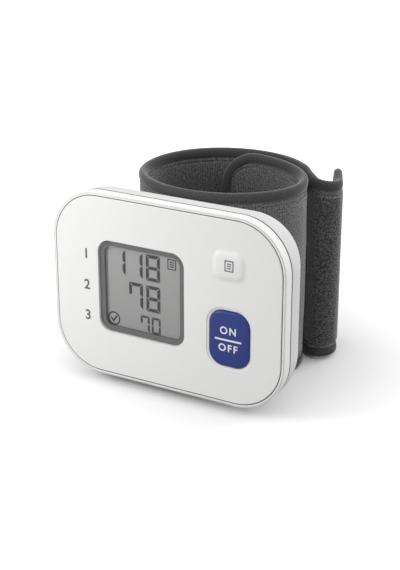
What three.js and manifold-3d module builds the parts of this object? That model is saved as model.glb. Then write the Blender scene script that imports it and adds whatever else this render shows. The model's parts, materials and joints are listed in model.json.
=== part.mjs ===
// Wrist blood pressure monitor, standing on the edge of its closed cuff.
// Millimetres. X runs to the right of the display, Y from the display to the back, Z up.
// Everything is drawn from the middle of the faceplate's front, and set on the floor at the end.
import * as THREE from "three";
import { mergeVertices } from "three/addons/utils/BufferGeometryUtils.js";
import Module from "manifold-3d";

const wasm = await Module();
wasm.setup();

// Clearances
const FIT = 0.2; // between pieces that seat on each other
const SLIDE = 0.3; // round pieces that move, and along seams
const PAST = 1; // how far a cutting tool runs past what it cuts

// Housing
const BODY_WIDTH = 84;
const BODY_HEIGHT = 62;
const CORNER_RADIUS = 17;
const WALL = 1.5;
const LIP_WIDTH = 1; // rim of the front case round the faceplate
const LIP_SETBACK = 0.25; // rim behind the face
const LIP_ROUND = 0.9; // rounding of the rim's outer edge
const SEAM_DEPTH = 4.1; // face to the seam between the cases
const SEAM_GAP = 0.3;
const REAR_STRAIGHT = 5; // depth where the rear case starts to round off
const REAR_INSET = 11; // how far its outline has drawn in at the back
const BACK_ROOM = 1.4; // pump to the rear wall
const FACE_THICK = 1.6;
const DECK_THICK = 1.5;

// Display
const WINDOW_X = -8.85;
const WINDOW_Z = 0.25;
const WINDOW_WIDTH = 31.9;
const WINDOW_HEIGHT = 31.3;
const WINDOW_RADIUS = 4.5;
const WINDOW_SETBACK = 0.15;
const WINDOW_THICK = 0.6;
const MASK_WIDTH = 1.7;
const MASK_THICK = 0.2;
const VIEW_RADIUS = 2.8; // corners of the opening in the mask
const LCD_MARGIN = 1; // panel beyond the mask's opening
const LCD_THICK = 1.9;
const HOLDER_RIM = 0.8;
const HOLDER_THICK = 0.7;
const ZEBRA_WIDTH = 2;
const ZEBRA_EDGE = 1.6; // from the panel's lower and right edges

// Buttons and their switches
const BUTTON_PROUD = 0.7;
const BUTTON_ROUND = 0.6;
const FLANGE_RIM = 1.1;
const FLANGE_THICK = 0.6;
const STEM_RADIUS = 1.6;
const SWITCH_SIZE = 5;
const SWITCH_THICK = 0.9;
const PLUNGER_RADIUS = 1;
const PLUNGER_PROUD = 0.4;
const PLUNGER_DEPTH = 0.25; // seated in the switch at rest
const PLUNGER_TRAVEL = 0.25;
const BUTTON_SIZES = {
  // side: from the right side of the housing
  start: { side: 18.95, z: -8.55, width: 14.2, height: 18.6, radius: 5 },
  memory: { side: 19.2, z: 15.3, width: 11.8, height: 10.4, radius: 3.6 },
};

// Circuit board
const BOARD_ROOM = 1; // display holder to board
const BOARD_THICK = 1;
const BOARD_SIDE = 4.6; // board to the right side of the housing
const BOARD_END = 6.8; // board to the top and bottom of the housing
const BOARD_RADIUS = 11;
const BOARD_SCREW_EDGE = 4.2; // from the board's top and bottom
const BOARD_POST_RADIUS = 1.8;
const CHIP_X = 2;
const CHIP_Z = 12;
const CHIP_SIZE = 9;
const CHIP_THICK = 1.1;

// Screws
const SHANK_RADIUS = 0.85;
const HEAD_RADIUS = 1.8;
const HEAD_HEIGHT = 1.1;
const SLOT_WIDTH = 0.6;
const SLOT_DEPTH = 0.45;
const CASE_SCREW_EDGE = 3.8; // from the top and bottom of the housing
const CASE_SCREW_LEFT = 18; // from the left side of the housing
const CASE_SCREW_RIGHT = 22; // from the right side
const CASE_BOSS_RADIUS = 2;
const CASE_BOSS_LENGTH = 2.3;
const CASE_POST_RADIUS = 2.6;
const CASE_POST_LENGTH = 5.7; // boss to the screw's head
const CUFF_SCREW_END = 11; // from the top and bottom of the housing

// Cells and contacts (AAA size)
const CELL_RADIUS = 5.25;
const CELL_END = 8.75; // cell to the top and bottom of the housing
const CELL_NUB_RADIUS = 1.9;
const CELL_NUB_LENGTH = 0.8;
const CELL_PITCH = 10.8;
const CELL_SIDE = 6.35; // cell to the left side of the housing
const TRAY_WALL = 0.7;
const TRAY_DEPTH = 6.7;
const CONTACT_ROOM = 1.15; // cell end to tray wall
const CONTACT_THICK = 0.3;
const CONTACT_WIDTH = 6.4;
const CONTACT_BUMP_RADIUS = 1.5;
const COVER_FRONT = 6.2;
const COVER_EDGE = 8.5; // left side of the housing to the cover's inner edge
const COVER_END = 7.6; // cover to the top and bottom of the housing
const LATCH_LENGTH = 4;
const LATCH_ROOT = 1.5;
const LATCH_WIDTH = 12;
const LATCH_THICK = 0.9;
const LATCH_DROP = 1.1; // latch inside the back wall

// Air system
const PUMP_RADIUS = 5.1;
const PUMP_SIDE = 6.9; // pump to the right side of the housing
const PUMP_ROOM = 0.4; // board to pump
const MOTOR_END = 9.9; // motor to the bottom of the housing
const PUMP_HEAD_LENGTH = 13;
const PUMP_HEAD_CORNER = 2.5;
const PUMP_BORE_RADIUS = 4;
const PUMP_BORE_DEPTH = 6.4;
const DIAPHRAGM_THICK = 1;
const SHAFT_RADIUS = 0.75;
const SHAFT_DEPTH = 6;
const CRANK_RADIUS = 2.2;
const CRANK_OFFSET = 0.5;
const CRANK_START = 1;
const CRANK_THICK = 2;
const DUCT_ROOM = 7; // board to the saddle wall
const DUCT_Z = -4;
const DUCT_DEPTH = 3.2; // board to the middle of the duct
const NOZZLE_RADIUS = 1;
const NOZZLE_LENGTH = 3.2;
const TUBE_RADIUS = 1.9;
const TUBE_RISE = 4; // pump tube above the pump's nozzle
const MANIFOLD_GAP = 2.9; // manifold to pump
const MANIFOLD_WIDTH = 9;
const MANIFOLD_DEPTH = 6;
const MANIFOLD_HEIGHT = 4.6;
const MANIFOLD_NOZZLE_SIDE = 2; // from its right side
const SENSOR_SIZE = 5;
const SENSOR_THICK = 3;
const SENSOR_RISE = 2.6; // manifold to sensor
const SENSOR_PORT_DEPTH = 1.6;
const VALVE_WIDTH = 8;
const VALVE_HEIGHT = 12;
const VALVE_GAP = 2.4; // manifold to valve
const VALVE_PIN_RADIUS = 1.3;
const VALVE_PIN_DEPTH = 7.3;
const VALVE_TRAVEL = 0.6;
const ELBOW_SIZE = 4.8;
const NIPPLE_RADIUS = 1.3;
const NIPPLE_SEAT = 2; // nipple inside the elbow

// Cuff. Its strap starts inside at the back, runs clockwise seen from above, and ends in the tail.
const CUFF_WIDTH = 59; // outside of the binding, which runs round as an oval ring
const CUFF_DEPTH = 53.4;
const CUFF_X = -1.6; // middle of the ring
const CUFF_CLEAR = 0.3; // ring to saddle
const CUFF_TOP = 31.2;
const CUFF_BOTTOM = -34;
const STRAP_THICK = 2.1;
const FABRIC_THICK = 0.4;
const LAYER_THICK = 0.45; // curler, and bladder
const LAYER_GAP = 0.1;
const BINDING_THICK = 0.25;
const BINDING_WIDTH = 3;
const BINDING_GAP = 0.1; // binding to strap
const POCKET_MARGIN = 4.5; // edge of the strap to its pocket
const LAP_GAP = 1.8; // inner end to the strap round it
const END_RADIUS = 12; // rounded corners of the strap's ends
const STRAP_START = 120; // degrees about the ring's middle, from +X
const LAP_END = 75; // where the inner end starts to run outwards
const RING_START = -20; // where it has reached the ring
const TAIL_START = 43; // where the tail leaves the ring
const HINGE_DEGREES = { left: 205, back: 130, tail: 52 };
const HINGE_GAP = 0.9; // degrees between neighbouring lengths of strap
const TAIL_STRAIGHT = 9;
const TAIL_BEND = 160; // degrees
const TAIL_BEND_RADIUS = 4.2;
const TAIL_END_LENGTH = 20;
const TAIL_NARROWING = 2.1; // at its top and its bottom
const BOSS_RADIUS = 2.2; // curler boss for a cuff screw
const BLADDER_SPAN = 150; // degrees of the ring
const HOOK_THICK = 0.5;
const HOOK_MARGIN = 5;
const HOOK_START = 2; // into the tail

// Fineness
const RING_STEP = 7; // degrees
const CORNER_STEPS = 4; // half the steps of a quarter round
const REAR_STEPS = 7;
const ROUND_STEPS = 6;
const STEP_APART = 0.7; // degrees, the least between two steps along the strap
const ROD_SIDES = 16;
const CELL_SIDES = 22;
const TUBE_STEPS = 16;
const TUBE_HALF_SIDES = 5;
const SADDLE_SIDES = 96;

// Depths behind the face, front to back
const deckFront = FACE_THICK + FIT;
const deckBack = deckFront + DECK_THICK;
const maskFront = WINDOW_SETBACK + WINDOW_THICK + FIT / 2;
const ledgeFront = maskFront + MASK_THICK + FIT / 2;
const lcdFront = FACE_THICK + FIT;
const holderFront = lcdFront + LCD_THICK + FIT / 2;
const holderBack = holderFront + HOLDER_THICK;
const trayFront = holderBack + FIT / 2;
const cellY = trayFront + TRAY_WALL + FIT + CELL_RADIUS;
const boardFront = holderBack + BOARD_ROOM;
const boardBack = boardFront + BOARD_THICK;
const switchFront = boardFront - FIT / 2 - SWITCH_THICK;
const plungerFront = switchFront - PLUNGER_PROUD;
const pumpY = boardBack + PUMP_ROOM + PUMP_RADIUS;
const bodyDepth = pumpY + PUMP_RADIUS + BACK_ROOM + WALL;
const rearFront = SEAM_DEPTH + SEAM_GAP;
const saddleInside = boardBack + DUCT_ROOM;
const saddleY = saddleInside + WALL;
const cuffY = saddleY + CUFF_CLEAR + CUFF_DEPTH / 2;
const ductY = boardBack + DUCT_DEPTH;

// Places across the housing
const halfWidth = BODY_WIDTH / 2;
const halfHeight = BODY_HEIGHT / 2;
const buttons = Object.entries(BUTTON_SIZES).map(([name, size]) => ({
  name,
  x: halfWidth - size.side,
  ...size,
}));
const viewWidth = WINDOW_WIDTH - 2 * MASK_WIDTH;
const viewHeight = WINDOW_HEIGHT - 2 * MASK_WIDTH;
const lcdWidth = viewWidth + 2 * LCD_MARGIN;
const lcdHeight = viewHeight + 2 * LCD_MARGIN;
const cellHalf = halfHeight - CELL_END;
const coverHalf = halfHeight - COVER_END;
const cellX = [0, 1].map((i) => CELL_SIDE + CELL_RADIUS + i * CELL_PITCH - halfWidth);
const trayEndZ = cellHalf + CONTACT_ROOM;
const trayRight = cellX[1] + CELL_RADIUS + FIT;
const boardLeft = trayRight + TRAY_WALL + SLIDE;
const boardRight = halfWidth - BOARD_SIDE;
const boardHalf = halfHeight - BOARD_END;
const boardScrewZ = boardHalf - BOARD_SCREW_EDGE;
const cuffScrewZ = halfHeight - CUFF_SCREW_END;
const caseScrewZ = halfHeight - CASE_SCREW_EDGE;
const caseBossEnd = deckBack + CASE_BOSS_LENGTH;
const caseHeadSeat = caseBossEnd + FIT + CASE_POST_LENGTH;
const pumpX = halfWidth - PUMP_SIDE - PUMP_RADIUS;
const pumpHeadTop = FIT / 2 + PUMP_HEAD_LENGTH;
const manifoldTop = DUCT_Z + MANIFOLD_HEIGHT / 2;
const manifoldBottom = DUCT_Z - MANIFOLD_HEIGHT / 2;
const manifoldY = boardBack + PUMP_ROOM + MANIFOLD_DEPTH / 2;
const manifoldRight = pumpX - PUMP_RADIUS - MANIFOLD_GAP;
const manifoldLeft = manifoldRight - MANIFOLD_WIDTH;
const manifoldNozzleX = manifoldRight - MANIFOLD_NOZZLE_SIDE;
const manifoldNozzleY = manifoldY + MANIFOLD_DEPTH / 2 - MANIFOLD_NOZZLE_SIDE;
const sensorX = manifoldLeft + SENSOR_SIZE / 2;
const sensorY = boardBack + FIT + SENSOR_THICK / 2;
const valveX = (manifoldLeft + manifoldRight) / 2;
const valveTop = manifoldBottom - VALVE_GAP;
const boardScrewX = valveX - VALVE_WIDTH / 2 - FIT - HEAD_RADIUS;

// Layers of the strap, measured outwards from its centre line
const strapHalf = STRAP_THICK / 2;
const pocketHalf = strapHalf - FABRIC_THICK;
const curlerOuter = pocketHalf - LAYER_GAP;
const curlerInner = curlerOuter - LAYER_THICK;
const bladderOuter = curlerInner - 2 * LAYER_GAP;
const bladderInner = bladderOuter - LAYER_THICK;
const bindingInner = strapHalf + BINDING_GAP;
const bindingOuter = bindingInner + BINDING_THICK;
const lapPitch = 2 * bindingOuter + LAP_GAP;
const ringRadius = CUFF_DEPTH / 2 - bindingOuter; // to the front and the back
const widening = (CUFF_WIDTH / 2 - bindingOuter) / ringRadius; // to the sides
const strapTop = CUFF_TOP - BINDING_GAP - BINDING_THICK;
const strapBottom = CUFF_BOTTOM + BINDING_GAP + BINDING_THICK;

const FINISHES = {
  whitePlastic: { color: 0xf0f0ee, roughness: 0.42, metalness: 0 },
  bluePlastic: { color: 0x3b4690, roughness: 0.38, metalness: 0 },
  greyPlastic: { color: 0x626466, roughness: 0.5, metalness: 0 },
  naturalPlastic: { color: 0xd8d6cc, roughness: 0.6, metalness: 0 },
  blackPlastic: { color: 0x1d1e20, roughness: 0.5, metalness: 0 },
  clearPlastic: { color: 0xe6eaec, roughness: 0.08, metalness: 0 },
  lcdGlass: { color: 0x9da39f, roughness: 0.25, metalness: 0 },
  boardGreen: { color: 0x1f5a3c, roughness: 0.55, metalness: 0 },
  rubber: { color: 0x2c2c2e, roughness: 0.8, metalness: 0 },
  clearTube: { color: 0xd9dcd6, roughness: 0.4, metalness: 0 },
  steel: { color: 0xb8babd, roughness: 0.35, metalness: 1 },
  cellWrap: { color: 0x33363b, roughness: 0.4, metalness: 0.2 },
  fabric: { color: 0x3e3f42, roughness: 0.95, metalness: 0 },
  binding: { color: 0x343538, roughness: 0.9, metalness: 0 },
  hook: { color: 0x4a4b4e, roughness: 0.95, metalness: 0 },
  curler: { color: 0xc9ccd0, roughness: 0.5, metalness: 0 },
  bladder: { color: 0x8f9298, roughness: 0.6, metalness: 0 },
};

// Solids

function solidOf(geometry) {
  const bare = new THREE.BufferGeometry();
  bare.setAttribute("position", geometry.getAttribute("position"));
  bare.setIndex(geometry.index);
  const merged = mergeVertices(bare, 1e-4);
  return new wasm.Manifold(
    new wasm.Mesh({
      numProp: 3,
      vertProperties: new Float32Array(merged.getAttribute("position").array),
      triVerts: new Uint32Array(merged.index.array),
    }),
  );
}

function geometryOf(solid) {
  const mesh = solid.getMesh();
  const geometry = new THREE.BufferGeometry();
  geometry.setAttribute("position", new THREE.BufferAttribute(mesh.vertProperties, 3));
  geometry.setIndex(new THREE.BufferAttribute(mesh.triVerts, 1));
  geometry.computeVertexNormals();
  return geometry;
}

const join = (first, ...others) => others.reduce((whole, piece) => whole.add(piece), first);
const cut = (first, ...tools) => tools.reduce((left, tool) => left.subtract(tool), first);

function box(x0, x1, y0, y1, z0, z1) {
  const geometry = new THREE.BoxGeometry(x1 - x0, y1 - y0, z1 - z0);
  return solidOf(geometry.translate((x0 + x1) / 2, (y0 + y1) / 2, (z0 + z1) / 2));
}

// A round rod along one axis, from one end to the other, its middle line at the two other places.
function rod(axis, radius, from, to, a, b, sides = ROD_SIDES) {
  const geometry = new THREE.CylinderGeometry(radius, radius, to - from, sides);
  const middle = (from + to) / 2;
  if (axis === "x") return solidOf(geometry.rotateZ(-Math.PI / 2).translate(middle, a, b));
  if (axis === "y") return solidOf(geometry.translate(a, middle, b));
  return solidOf(geometry.rotateX(Math.PI / 2).translate(a, b, middle));
}

function roundedRect(width, height, radius, x = 0, z = 0) {
  const right = x + width / 2 - radius;
  const left = x - width / 2 + radius;
  const top = z + height / 2 - radius;
  const bottom = z - height / 2 + radius;
  const quarter = Math.PI / 2;
  const shape = new THREE.Shape();
  shape.absarc(right, bottom, radius, -quarter, 0, false);
  shape.absarc(right, top, radius, 0, quarter, false);
  shape.absarc(left, top, radius, quarter, 2 * quarter, false);
  shape.absarc(left, bottom, radius, 2 * quarter, 3 * quarter, false);
  shape.closePath();
  return shape;
}

// A plate with the shape's outline in X and Z, between two depths.
function plate(shape, front, back, round = 0) {
  const geometry = new THREE.ExtrudeGeometry(shape, {
    depth: back - front - 2 * round,
    curveSegments: CORNER_STEPS,
    bevelEnabled: round > 0,
    bevelThickness: round,
    bevelSize: round,
    bevelOffset: -round,
    bevelSegments: ROUND_STEPS / 2,
  });
  return solidOf(geometry.rotateX(Math.PI / 2).translate(0, back - round, 0));
}

// Joins closed rings of points, of like count, into one solid with flat ends.
function loft(rings) {
  const count = rings[0].length;
  const index = [];
  for (let i = 0; i + 1 < rings.length; i++) {
    for (let k = 0; k < count; k++) {
      const next = (k + 1) % count;
      const [a, b] = [i * count + k, i * count + next];
      const [c, d] = [(i + 1) * count + next, (i + 1) * count + k];
      index.push(a, b, c, a, c, d);
    }
  }
  const last = (rings.length - 1) * count;
  for (let k = 1; k + 1 < count; k++) {
    index.push(0, k + 1, k, last, last + k, last + k + 1);
  }
  const geometry = new THREE.BufferGeometry().setFromPoints(rings.flat());
  geometry.setIndex(index);
  return solidOf(geometry);
}

// The housing's outline, drawn in by an inset, at one depth.
function bodyRing(inset, y) {
  const shape = roundedRect(
    BODY_WIDTH - 2 * inset,
    BODY_HEIGHT - 2 * inset,
    CORNER_RADIUS - inset,
  );
  const points = shape.getPoints(CORNER_STEPS).slice(0, -1);
  return points.reverse().map((p) => new THREE.Vector3(p.x, y, p.y));
}

const quarterTurns = (steps) =>
  Array.from({ length: steps + 1 }, (_, k) => ((k / steps) * Math.PI) / 2);

// The rear half of the housing, rounded off like a boat; wall is how much smaller it is drawn.
function rearForm(wall, front) {
  const depth = bodyDepth - wall - REAR_STRAIGHT;
  const rounded = quarterTurns(REAR_STEPS).map((turn) =>
    bodyRing(
      wall + REAR_INSET * (1 - Math.cos(turn)),
      REAR_STRAIGHT + depth * Math.sin(turn),
    ),
  );
  const clear = CUFF_CLEAR + wall;
  const saddle = new THREE.CylinderGeometry(1, 1, 2 * BODY_HEIGHT, SADDLE_SIDES)
    .rotateX(Math.PI / 2)
    .scale(CUFF_WIDTH / 2 + clear, CUFF_DEPTH / 2 + clear, 1)
    .translate(CUFF_X, cuffY, 0);
  return cut(loft([bodyRing(wall, front), ...rounded]), solidOf(saddle));
}

// Cuff strap

const radians = (degrees) => (degrees * Math.PI) / 180;
const smooth = (t) => {
  const held = Math.min(1, Math.max(0, t));
  return held * held * (3 - 2 * held);
};

// A place along the strap is in degrees from its start while it goes round, then in millimetres.
const ringEnd = STRAP_START + 360 - TAIL_START;
const bendLength = radians(TAIL_BEND) * TAIL_BEND_RADIUS;
const tailMarks = [TAIL_STRAIGHT, bendLength, TAIL_END_LENGTH].reduce(
  (marks, length) => [...marks, marks.at(-1) + length],
  [ringEnd],
);
const strapEnd = tailMarks.at(-1);
const startRadius = ringRadius - lapPitch;
const strapPlace = (degrees) => STRAP_START + 360 - degrees;

function ringStation(place) {
  const lapSpan = LAP_END - RING_START;
  const eased = smooth((place - STRAP_START + LAP_END) / lapSpan);
  const radius = startRadius + lapPitch * eased;
  const turn = radians(STRAP_START - place);
  return {
    x: CUFF_X + widening * radius * Math.cos(turn),
    y: cuffY + radius * Math.sin(turn),
    angle: Math.atan2(widening * Math.sin(turn), Math.cos(turn)),
  };
}

// Moves on from a station along an arc that bends to the left; no radius means straight on.
function moveOn(station, length, bendRadius) {
  const heading = station.angle - Math.PI / 2;
  if (!bendRadius) {
    const x = station.x + length * Math.cos(heading);
    return { x, y: station.y + length * Math.sin(heading), angle: station.angle };
  }
  const turned = heading + length / bendRadius;
  return {
    x: station.x + bendRadius * (Math.sin(turned) - Math.sin(heading)),
    y: station.y + bendRadius * (Math.cos(heading) - Math.cos(turned)),
    angle: turned + Math.PI / 2,
  };
}

// The strap's centre line at a place, with the direction that faces out of the ring.
function stationAt(place) {
  let station = ringStation(Math.min(place, ringEnd));
  const bends = [0, TAIL_BEND_RADIUS, 0];
  bends.forEach((bend, i) => {
    const reach = i + 1 < bends.length ? Math.min(place, tailMarks[i + 1]) : place;
    if (reach > tailMarks[i]) station = moveOn(station, reach - tailMarks[i], bend);
  });
  return station;
}

const startTurn = radians(STRAP_START);
const degreesPerMm =
  1 / radians(startRadius * Math.hypot(widening * Math.sin(startTurn), Math.cos(startTurn)));
const freeLength = (place) => Math.min(place / degreesPerMm, strapEnd - place);

// Top and bottom of the strap at a place; grow moves its whole edge outwards.
function edgesAt(place, grow) {
  const narrowing = TAIL_NARROWING * smooth((place - ringEnd) / (tailMarks[2] - ringEnd));
  const radius = END_RADIUS + grow;
  const fromEnd = Math.max(0, freeLength(place) + grow);
  const short = Math.max(0, radius - fromEnd);
  const drop = radius - Math.sqrt(radius * radius - short * short);
  return {
    top: strapTop - narrowing + grow - drop,
    bottom: strapBottom + narrowing - grow + drop,
  };
}

const endSteps = quarterTurns(ROUND_STEPS).map((turn) => END_RADIUS * (1 - Math.cos(turn)));
const ringSteps = Array.from(
  { length: Math.floor(ringEnd / RING_STEP) + 1 },
  (_, k) => k * RING_STEP,
);
const tailSteps = tailMarks.slice(0, -1).flatMap((mark, i) => {
  const steps = [1, 2 * ROUND_STEPS, 1][i];
  return Array.from({ length: steps }, (_, k) => mark + ((tailMarks[i + 1] - mark) * k) / steps);
});
const allSteps = [
  ...endSteps.map((d) => d * degreesPerMm),
  ...ringSteps,
  ...tailSteps,
  ...endSteps.map((d) => strapEnd - d),
].sort((a, b) => a - b);

// A length of the strap between two layers; a free end grows with its edge.
function band(from, to, grow, inner, outer) {
  const start = from <= 0 ? -grow * degreesPerMm : from;
  const end = to >= strapEnd ? strapEnd + grow : to;
  const between = allSteps.filter((p) => p > start + STEP_APART && p < end - STEP_APART);
  const places = [start, ...between, end];
  const rings = places.map((place) => {
    const { x, y, angle } = stationAt(place);
    const { top, bottom } = edgesAt(place, grow);
    const at = (out, z) =>
      new THREE.Vector3(x + out * Math.cos(angle), y + out * Math.sin(angle), z);
    return [at(inner, bottom), at(outer, bottom), at(outer, top), at(inner, top)];
  });
  return loft(rings);
}

// A band that runs past each end where its length of strap meets another, for cutting.
function cutter(from, to, grow, inner, outer) {
  const start = from <= 0 ? from : from - HINGE_GAP;
  const end = to >= strapEnd ? to : to + HINGE_GAP;
  return band(start, end, grow, inner, outer);
}

// Fabric sleeve with its pocket, which runs out at each end that meets another length.
function sleeve(from, to) {
  return cut(
    band(from, to, 0, -strapHalf, strapHalf),
    cutter(from, to, -POCKET_MARGIN, -pocketHalf, pocketHalf),
  );
}

// Folded tape over the strap's edge: its upper or its lower half.
function binding(from, to, side) {
  const middle = (strapTop + strapBottom) / 2;
  const far = 2 * BODY_WIDTH;
  const [low, high] = side === "top" ? [-far, middle + SLIDE / 2] : [middle - SLIDE / 2, far];
  return cut(
    band(from, to, BINDING_GAP + BINDING_THICK, -bindingOuter, bindingOuter),
    cutter(from, to, BINDING_GAP, -bindingInner, bindingInner),
    cutter(from, to, -BINDING_WIDTH, -2 * bindingOuter, 2 * bindingOuter),
    box(-far, far, -far, far, low, high),
  );
}

const group = (parent) => {
  const made = new THREE.Group();
  parent.add(made);
  return made;
};

function addPart(parent, name, solid, finish, position = [0, 0, 0]) {
  const material = new THREE.MeshStandardMaterial(FINISHES[finish]);
  const mesh = new THREE.Mesh(geometryOf(solid), material);
  mesh.name = name;
  mesh.position.set(...position);
  parent.add(mesh);
}

const monitor = new THREE.Group();
const housing = group(monitor);
const display = group(monitor);
const electronics = group(monitor);
const power = group(monitor);
const air = group(monitor);
const cuff = group(monitor);

const caseScrewPlaces = [
  [CASE_SCREW_LEFT - halfWidth, caseScrewZ],
  [CASE_SCREW_LEFT - halfWidth, -caseScrewZ],
  [halfWidth - CASE_SCREW_RIGHT, caseScrewZ],
  [halfWidth - CASE_SCREW_RIGHT, -caseScrewZ],
];
const boardScrewPlaces = [1, -1].map((side) => [boardScrewX, side * boardScrewZ]);
const cuffScrewPlaces = [1, -1].map((side) => [CUFF_X, side * cuffScrewZ]);
const grownRect = (b, grow) =>
  roundedRect(b.width + 2 * grow, b.height + 2 * grow, b.radius + grow, b.x, b.z);
const windowRect = (width, height, radius) =>
  roundedRect(width, height, radius, WINDOW_X, WINDOW_Z);

// Front case: rim, deck with its openings, bosses for the case screws and posts for the board
function makeFrontCase() {
  const rounded = quarterTurns(ROUND_STEPS / 2).map((turn) =>
    bodyRing(LIP_ROUND * (1 - Math.sin(turn)), LIP_SETBACK + LIP_ROUND * (1 - Math.cos(turn))),
  );
  const rim = loft([...rounded, bodyRing(0, SEAM_DEPTH)]);
  const pocket = loft([bodyRing(LIP_WIDTH, -PAST), bodyRing(LIP_WIDTH, deckFront)]);
  const hollow = loft([bodyRing(WALL, deckBack), bodyRing(WALL, SEAM_DEPTH + PAST)]);
  const lcdHole = windowRect(lcdWidth + 2 * SLIDE, lcdHeight + 2 * SLIDE, VIEW_RADIUS);
  const holes = [
    plate(lcdHole, deckFront - PAST, deckBack + PAST),
    ...buttons.map((b) =>
      plate(grownRect(b, FLANGE_RIM + SLIDE), deckFront - PAST, deckBack + PAST),
    ),
  ];
  const seat = deckFront + DECK_THICK / 2;
  const pilot = SHANK_RADIUS + FIT / 2;
  const bosses = caseScrewPlaces.map((p) => rod("y", CASE_BOSS_RADIUS, seat, caseBossEnd, ...p));
  const posts = boardScrewPlaces.map((p) =>
    rod("y", BOARD_POST_RADIUS, seat, boardFront - FIT / 2, ...p),
  );
  const pilots = [...caseScrewPlaces, ...boardScrewPlaces].map((p) =>
    rod("y", pilot, seat, boardBack, ...p),
  );
  return cut(join(cut(rim, pocket, hollow, ...holes), ...bosses, ...posts), ...pilots);
}

function makeFaceplate() {
  const inset = LIP_WIDTH + FIT;
  const panel = loft([bodyRing(inset, 0), bodyRing(inset, FACE_THICK)]);
  const windowHole = windowRect(WINDOW_WIDTH, WINDOW_HEIGHT, WINDOW_RADIUS);
  const viewHole = windowRect(viewWidth, viewHeight, VIEW_RADIUS);
  return cut(
    panel,
    plate(windowHole, -PAST, ledgeFront),
    plate(viewHole, -PAST, FACE_THICK + PAST),
    ...buttons.map((b) => plate(grownRect(b, SLIDE), -PAST, FACE_THICK + PAST)),
  );
}

// Rear case: rounded shell with the saddle for the cuff and a post for each case screw
function coverBlock(gap) {
  return box(
    -BODY_WIDTH,
    COVER_EDGE - halfWidth - gap,
    COVER_FRONT + gap,
    bodyDepth + PAST,
    gap - coverHalf,
    coverHalf - gap,
  );
}

const rearOuter = rearForm(0, rearFront);
const rearInner = rearForm(WALL, rearFront - PAST);
const rearShell = cut(rearOuter, rearInner);

function makeRearCase() {
  const postFront = caseBossEnd + FIT;
  const posts = caseScrewPlaces.map((p) =>
    rod("y", CASE_POST_RADIUS, postFront, bodyDepth, ...p).intersect(rearOuter),
  );
  const screwHoles = caseScrewPlaces.flatMap((p) => [
    rod("y", SHANK_RADIUS + FIT, postFront - PAST, bodyDepth, ...p),
    rod("y", HEAD_RADIUS + FIT, caseHeadSeat, bodyDepth + PAST, ...p),
  ]);
  const cuffHoles = [
    ...cuffScrewPlaces.map((p) => rod("y", SHANK_RADIUS + FIT, boardBack, cuffY, ...p)),
    rod("y", NIPPLE_RADIUS + SLIDE, boardBack, cuffY, CUFF_X, DUCT_Z),
  ];
  return cut(join(rearShell, ...posts), ...screwHoles, ...cuffHoles, coverBlock(0));
}

// Battery cover: the left end of the rear shell, with a latch that slips under the back wall
function makeBatteryCover() {
  const edge = COVER_EDGE - halfWidth;
  const latchBack = bodyDepth - WALL - LATCH_DROP;
  const latchFront = latchBack - LATCH_THICK;
  const half = LATCH_WIDTH / 2;
  const rootLeft = edge - SLIDE - LATCH_ROOT;
  const tongue = box(rootLeft, edge + LATCH_LENGTH, latchFront, latchBack, -half, half);
  const root = box(rootLeft, edge - SLIDE, latchFront, bodyDepth, -half, half);
  return join(rearShell.intersect(coverBlock(SLIDE)), tongue, root.intersect(rearOuter));
}

// A screw along Y: its head's seat at the origin, its head to the front or to the back
function screwSolid(shankLength, head) {
  const span = (a, b) => (head === "back" ? [a, b] : [-b, -a]);
  const half = SLOT_WIDTH / 2;
  const slot = span(HEAD_HEIGHT - SLOT_DEPTH, HEAD_HEIGHT + PAST);
  return cut(
    join(
      rod("y", SHANK_RADIUS, ...span(-shankLength, HEAD_HEIGHT / 2), 0, 0),
      rod("y", HEAD_RADIUS, ...span(0, HEAD_HEIGHT), 0, 0),
    ),
    box(-HEAD_RADIUS, HEAD_RADIUS, ...slot, -half, half),
  );
}

addPart(housing, "front_case", makeFrontCase(), "whitePlastic");
addPart(housing, "faceplate", makeFaceplate(), "whitePlastic");
addPart(housing, "rear_case", makeRearCase(), "whitePlastic");
addPart(housing, "battery_cover", makeBatteryCover(), "whitePlastic");
const caseScrew = screwSolid(caseHeadSeat + FIT / 2 - deckBack, "back");
caseScrewPlaces.forEach(([x, z], i) => {
  const place = [x, caseHeadSeat + FIT / 2, z];
  addPart(housing, `case_screw_${i + 1}`, caseScrew, "steel", place);
});

// Display: window, mask, panel, holder and rubber connector
function makeDisplay() {
  const windowPane = windowRect(
    WINDOW_WIDTH - 2 * FIT,
    WINDOW_HEIGHT - 2 * FIT,
    WINDOW_RADIUS - FIT,
  );
  const pane = plate(windowPane, WINDOW_SETBACK, WINDOW_SETBACK + WINDOW_THICK);
  const mask = cut(
    plate(windowPane, maskFront, maskFront + MASK_THICK),
    plate(windowRect(viewWidth, viewHeight, VIEW_RADIUS), 0, FACE_THICK),
  );
  const panel = windowRect(lcdWidth, lcdHeight, VIEW_RADIUS);
  const back = windowRect(lcdWidth + 2 * HOLDER_RIM, lcdHeight + 2 * HOLDER_RIM, VIEW_RADIUS);
  const zebraBottom = WINDOW_Z - lcdHeight / 2 + ZEBRA_EDGE;
  const zebraRight = WINDOW_X + lcdWidth / 2 - ZEBRA_EDGE;
  const zebra = (grow, front, rear) =>
    box(
      boardLeft - grow,
      zebraRight + grow,
      front,
      rear,
      zebraBottom - grow,
      zebraBottom + ZEBRA_WIDTH + grow,
    );
  const holder = cut(plate(back, holderFront, holderBack), zebra(FIT, 0, boardFront));
  addPart(display, "display_window", pane, "clearPlastic");
  addPart(display, "display_mask", mask, "greyPlastic");
  addPart(display, "lcd_panel", plate(panel, lcdFront, lcdFront + LCD_THICK), "lcdGlass");
  addPart(display, "lcd_holder", holder, "naturalPlastic");
  addPart(
    display,
    "zebra_connector",
    zebra(0, holderFront, boardFront - FIT / 2),
    "rubber",
  );
}
makeDisplay();

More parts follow.
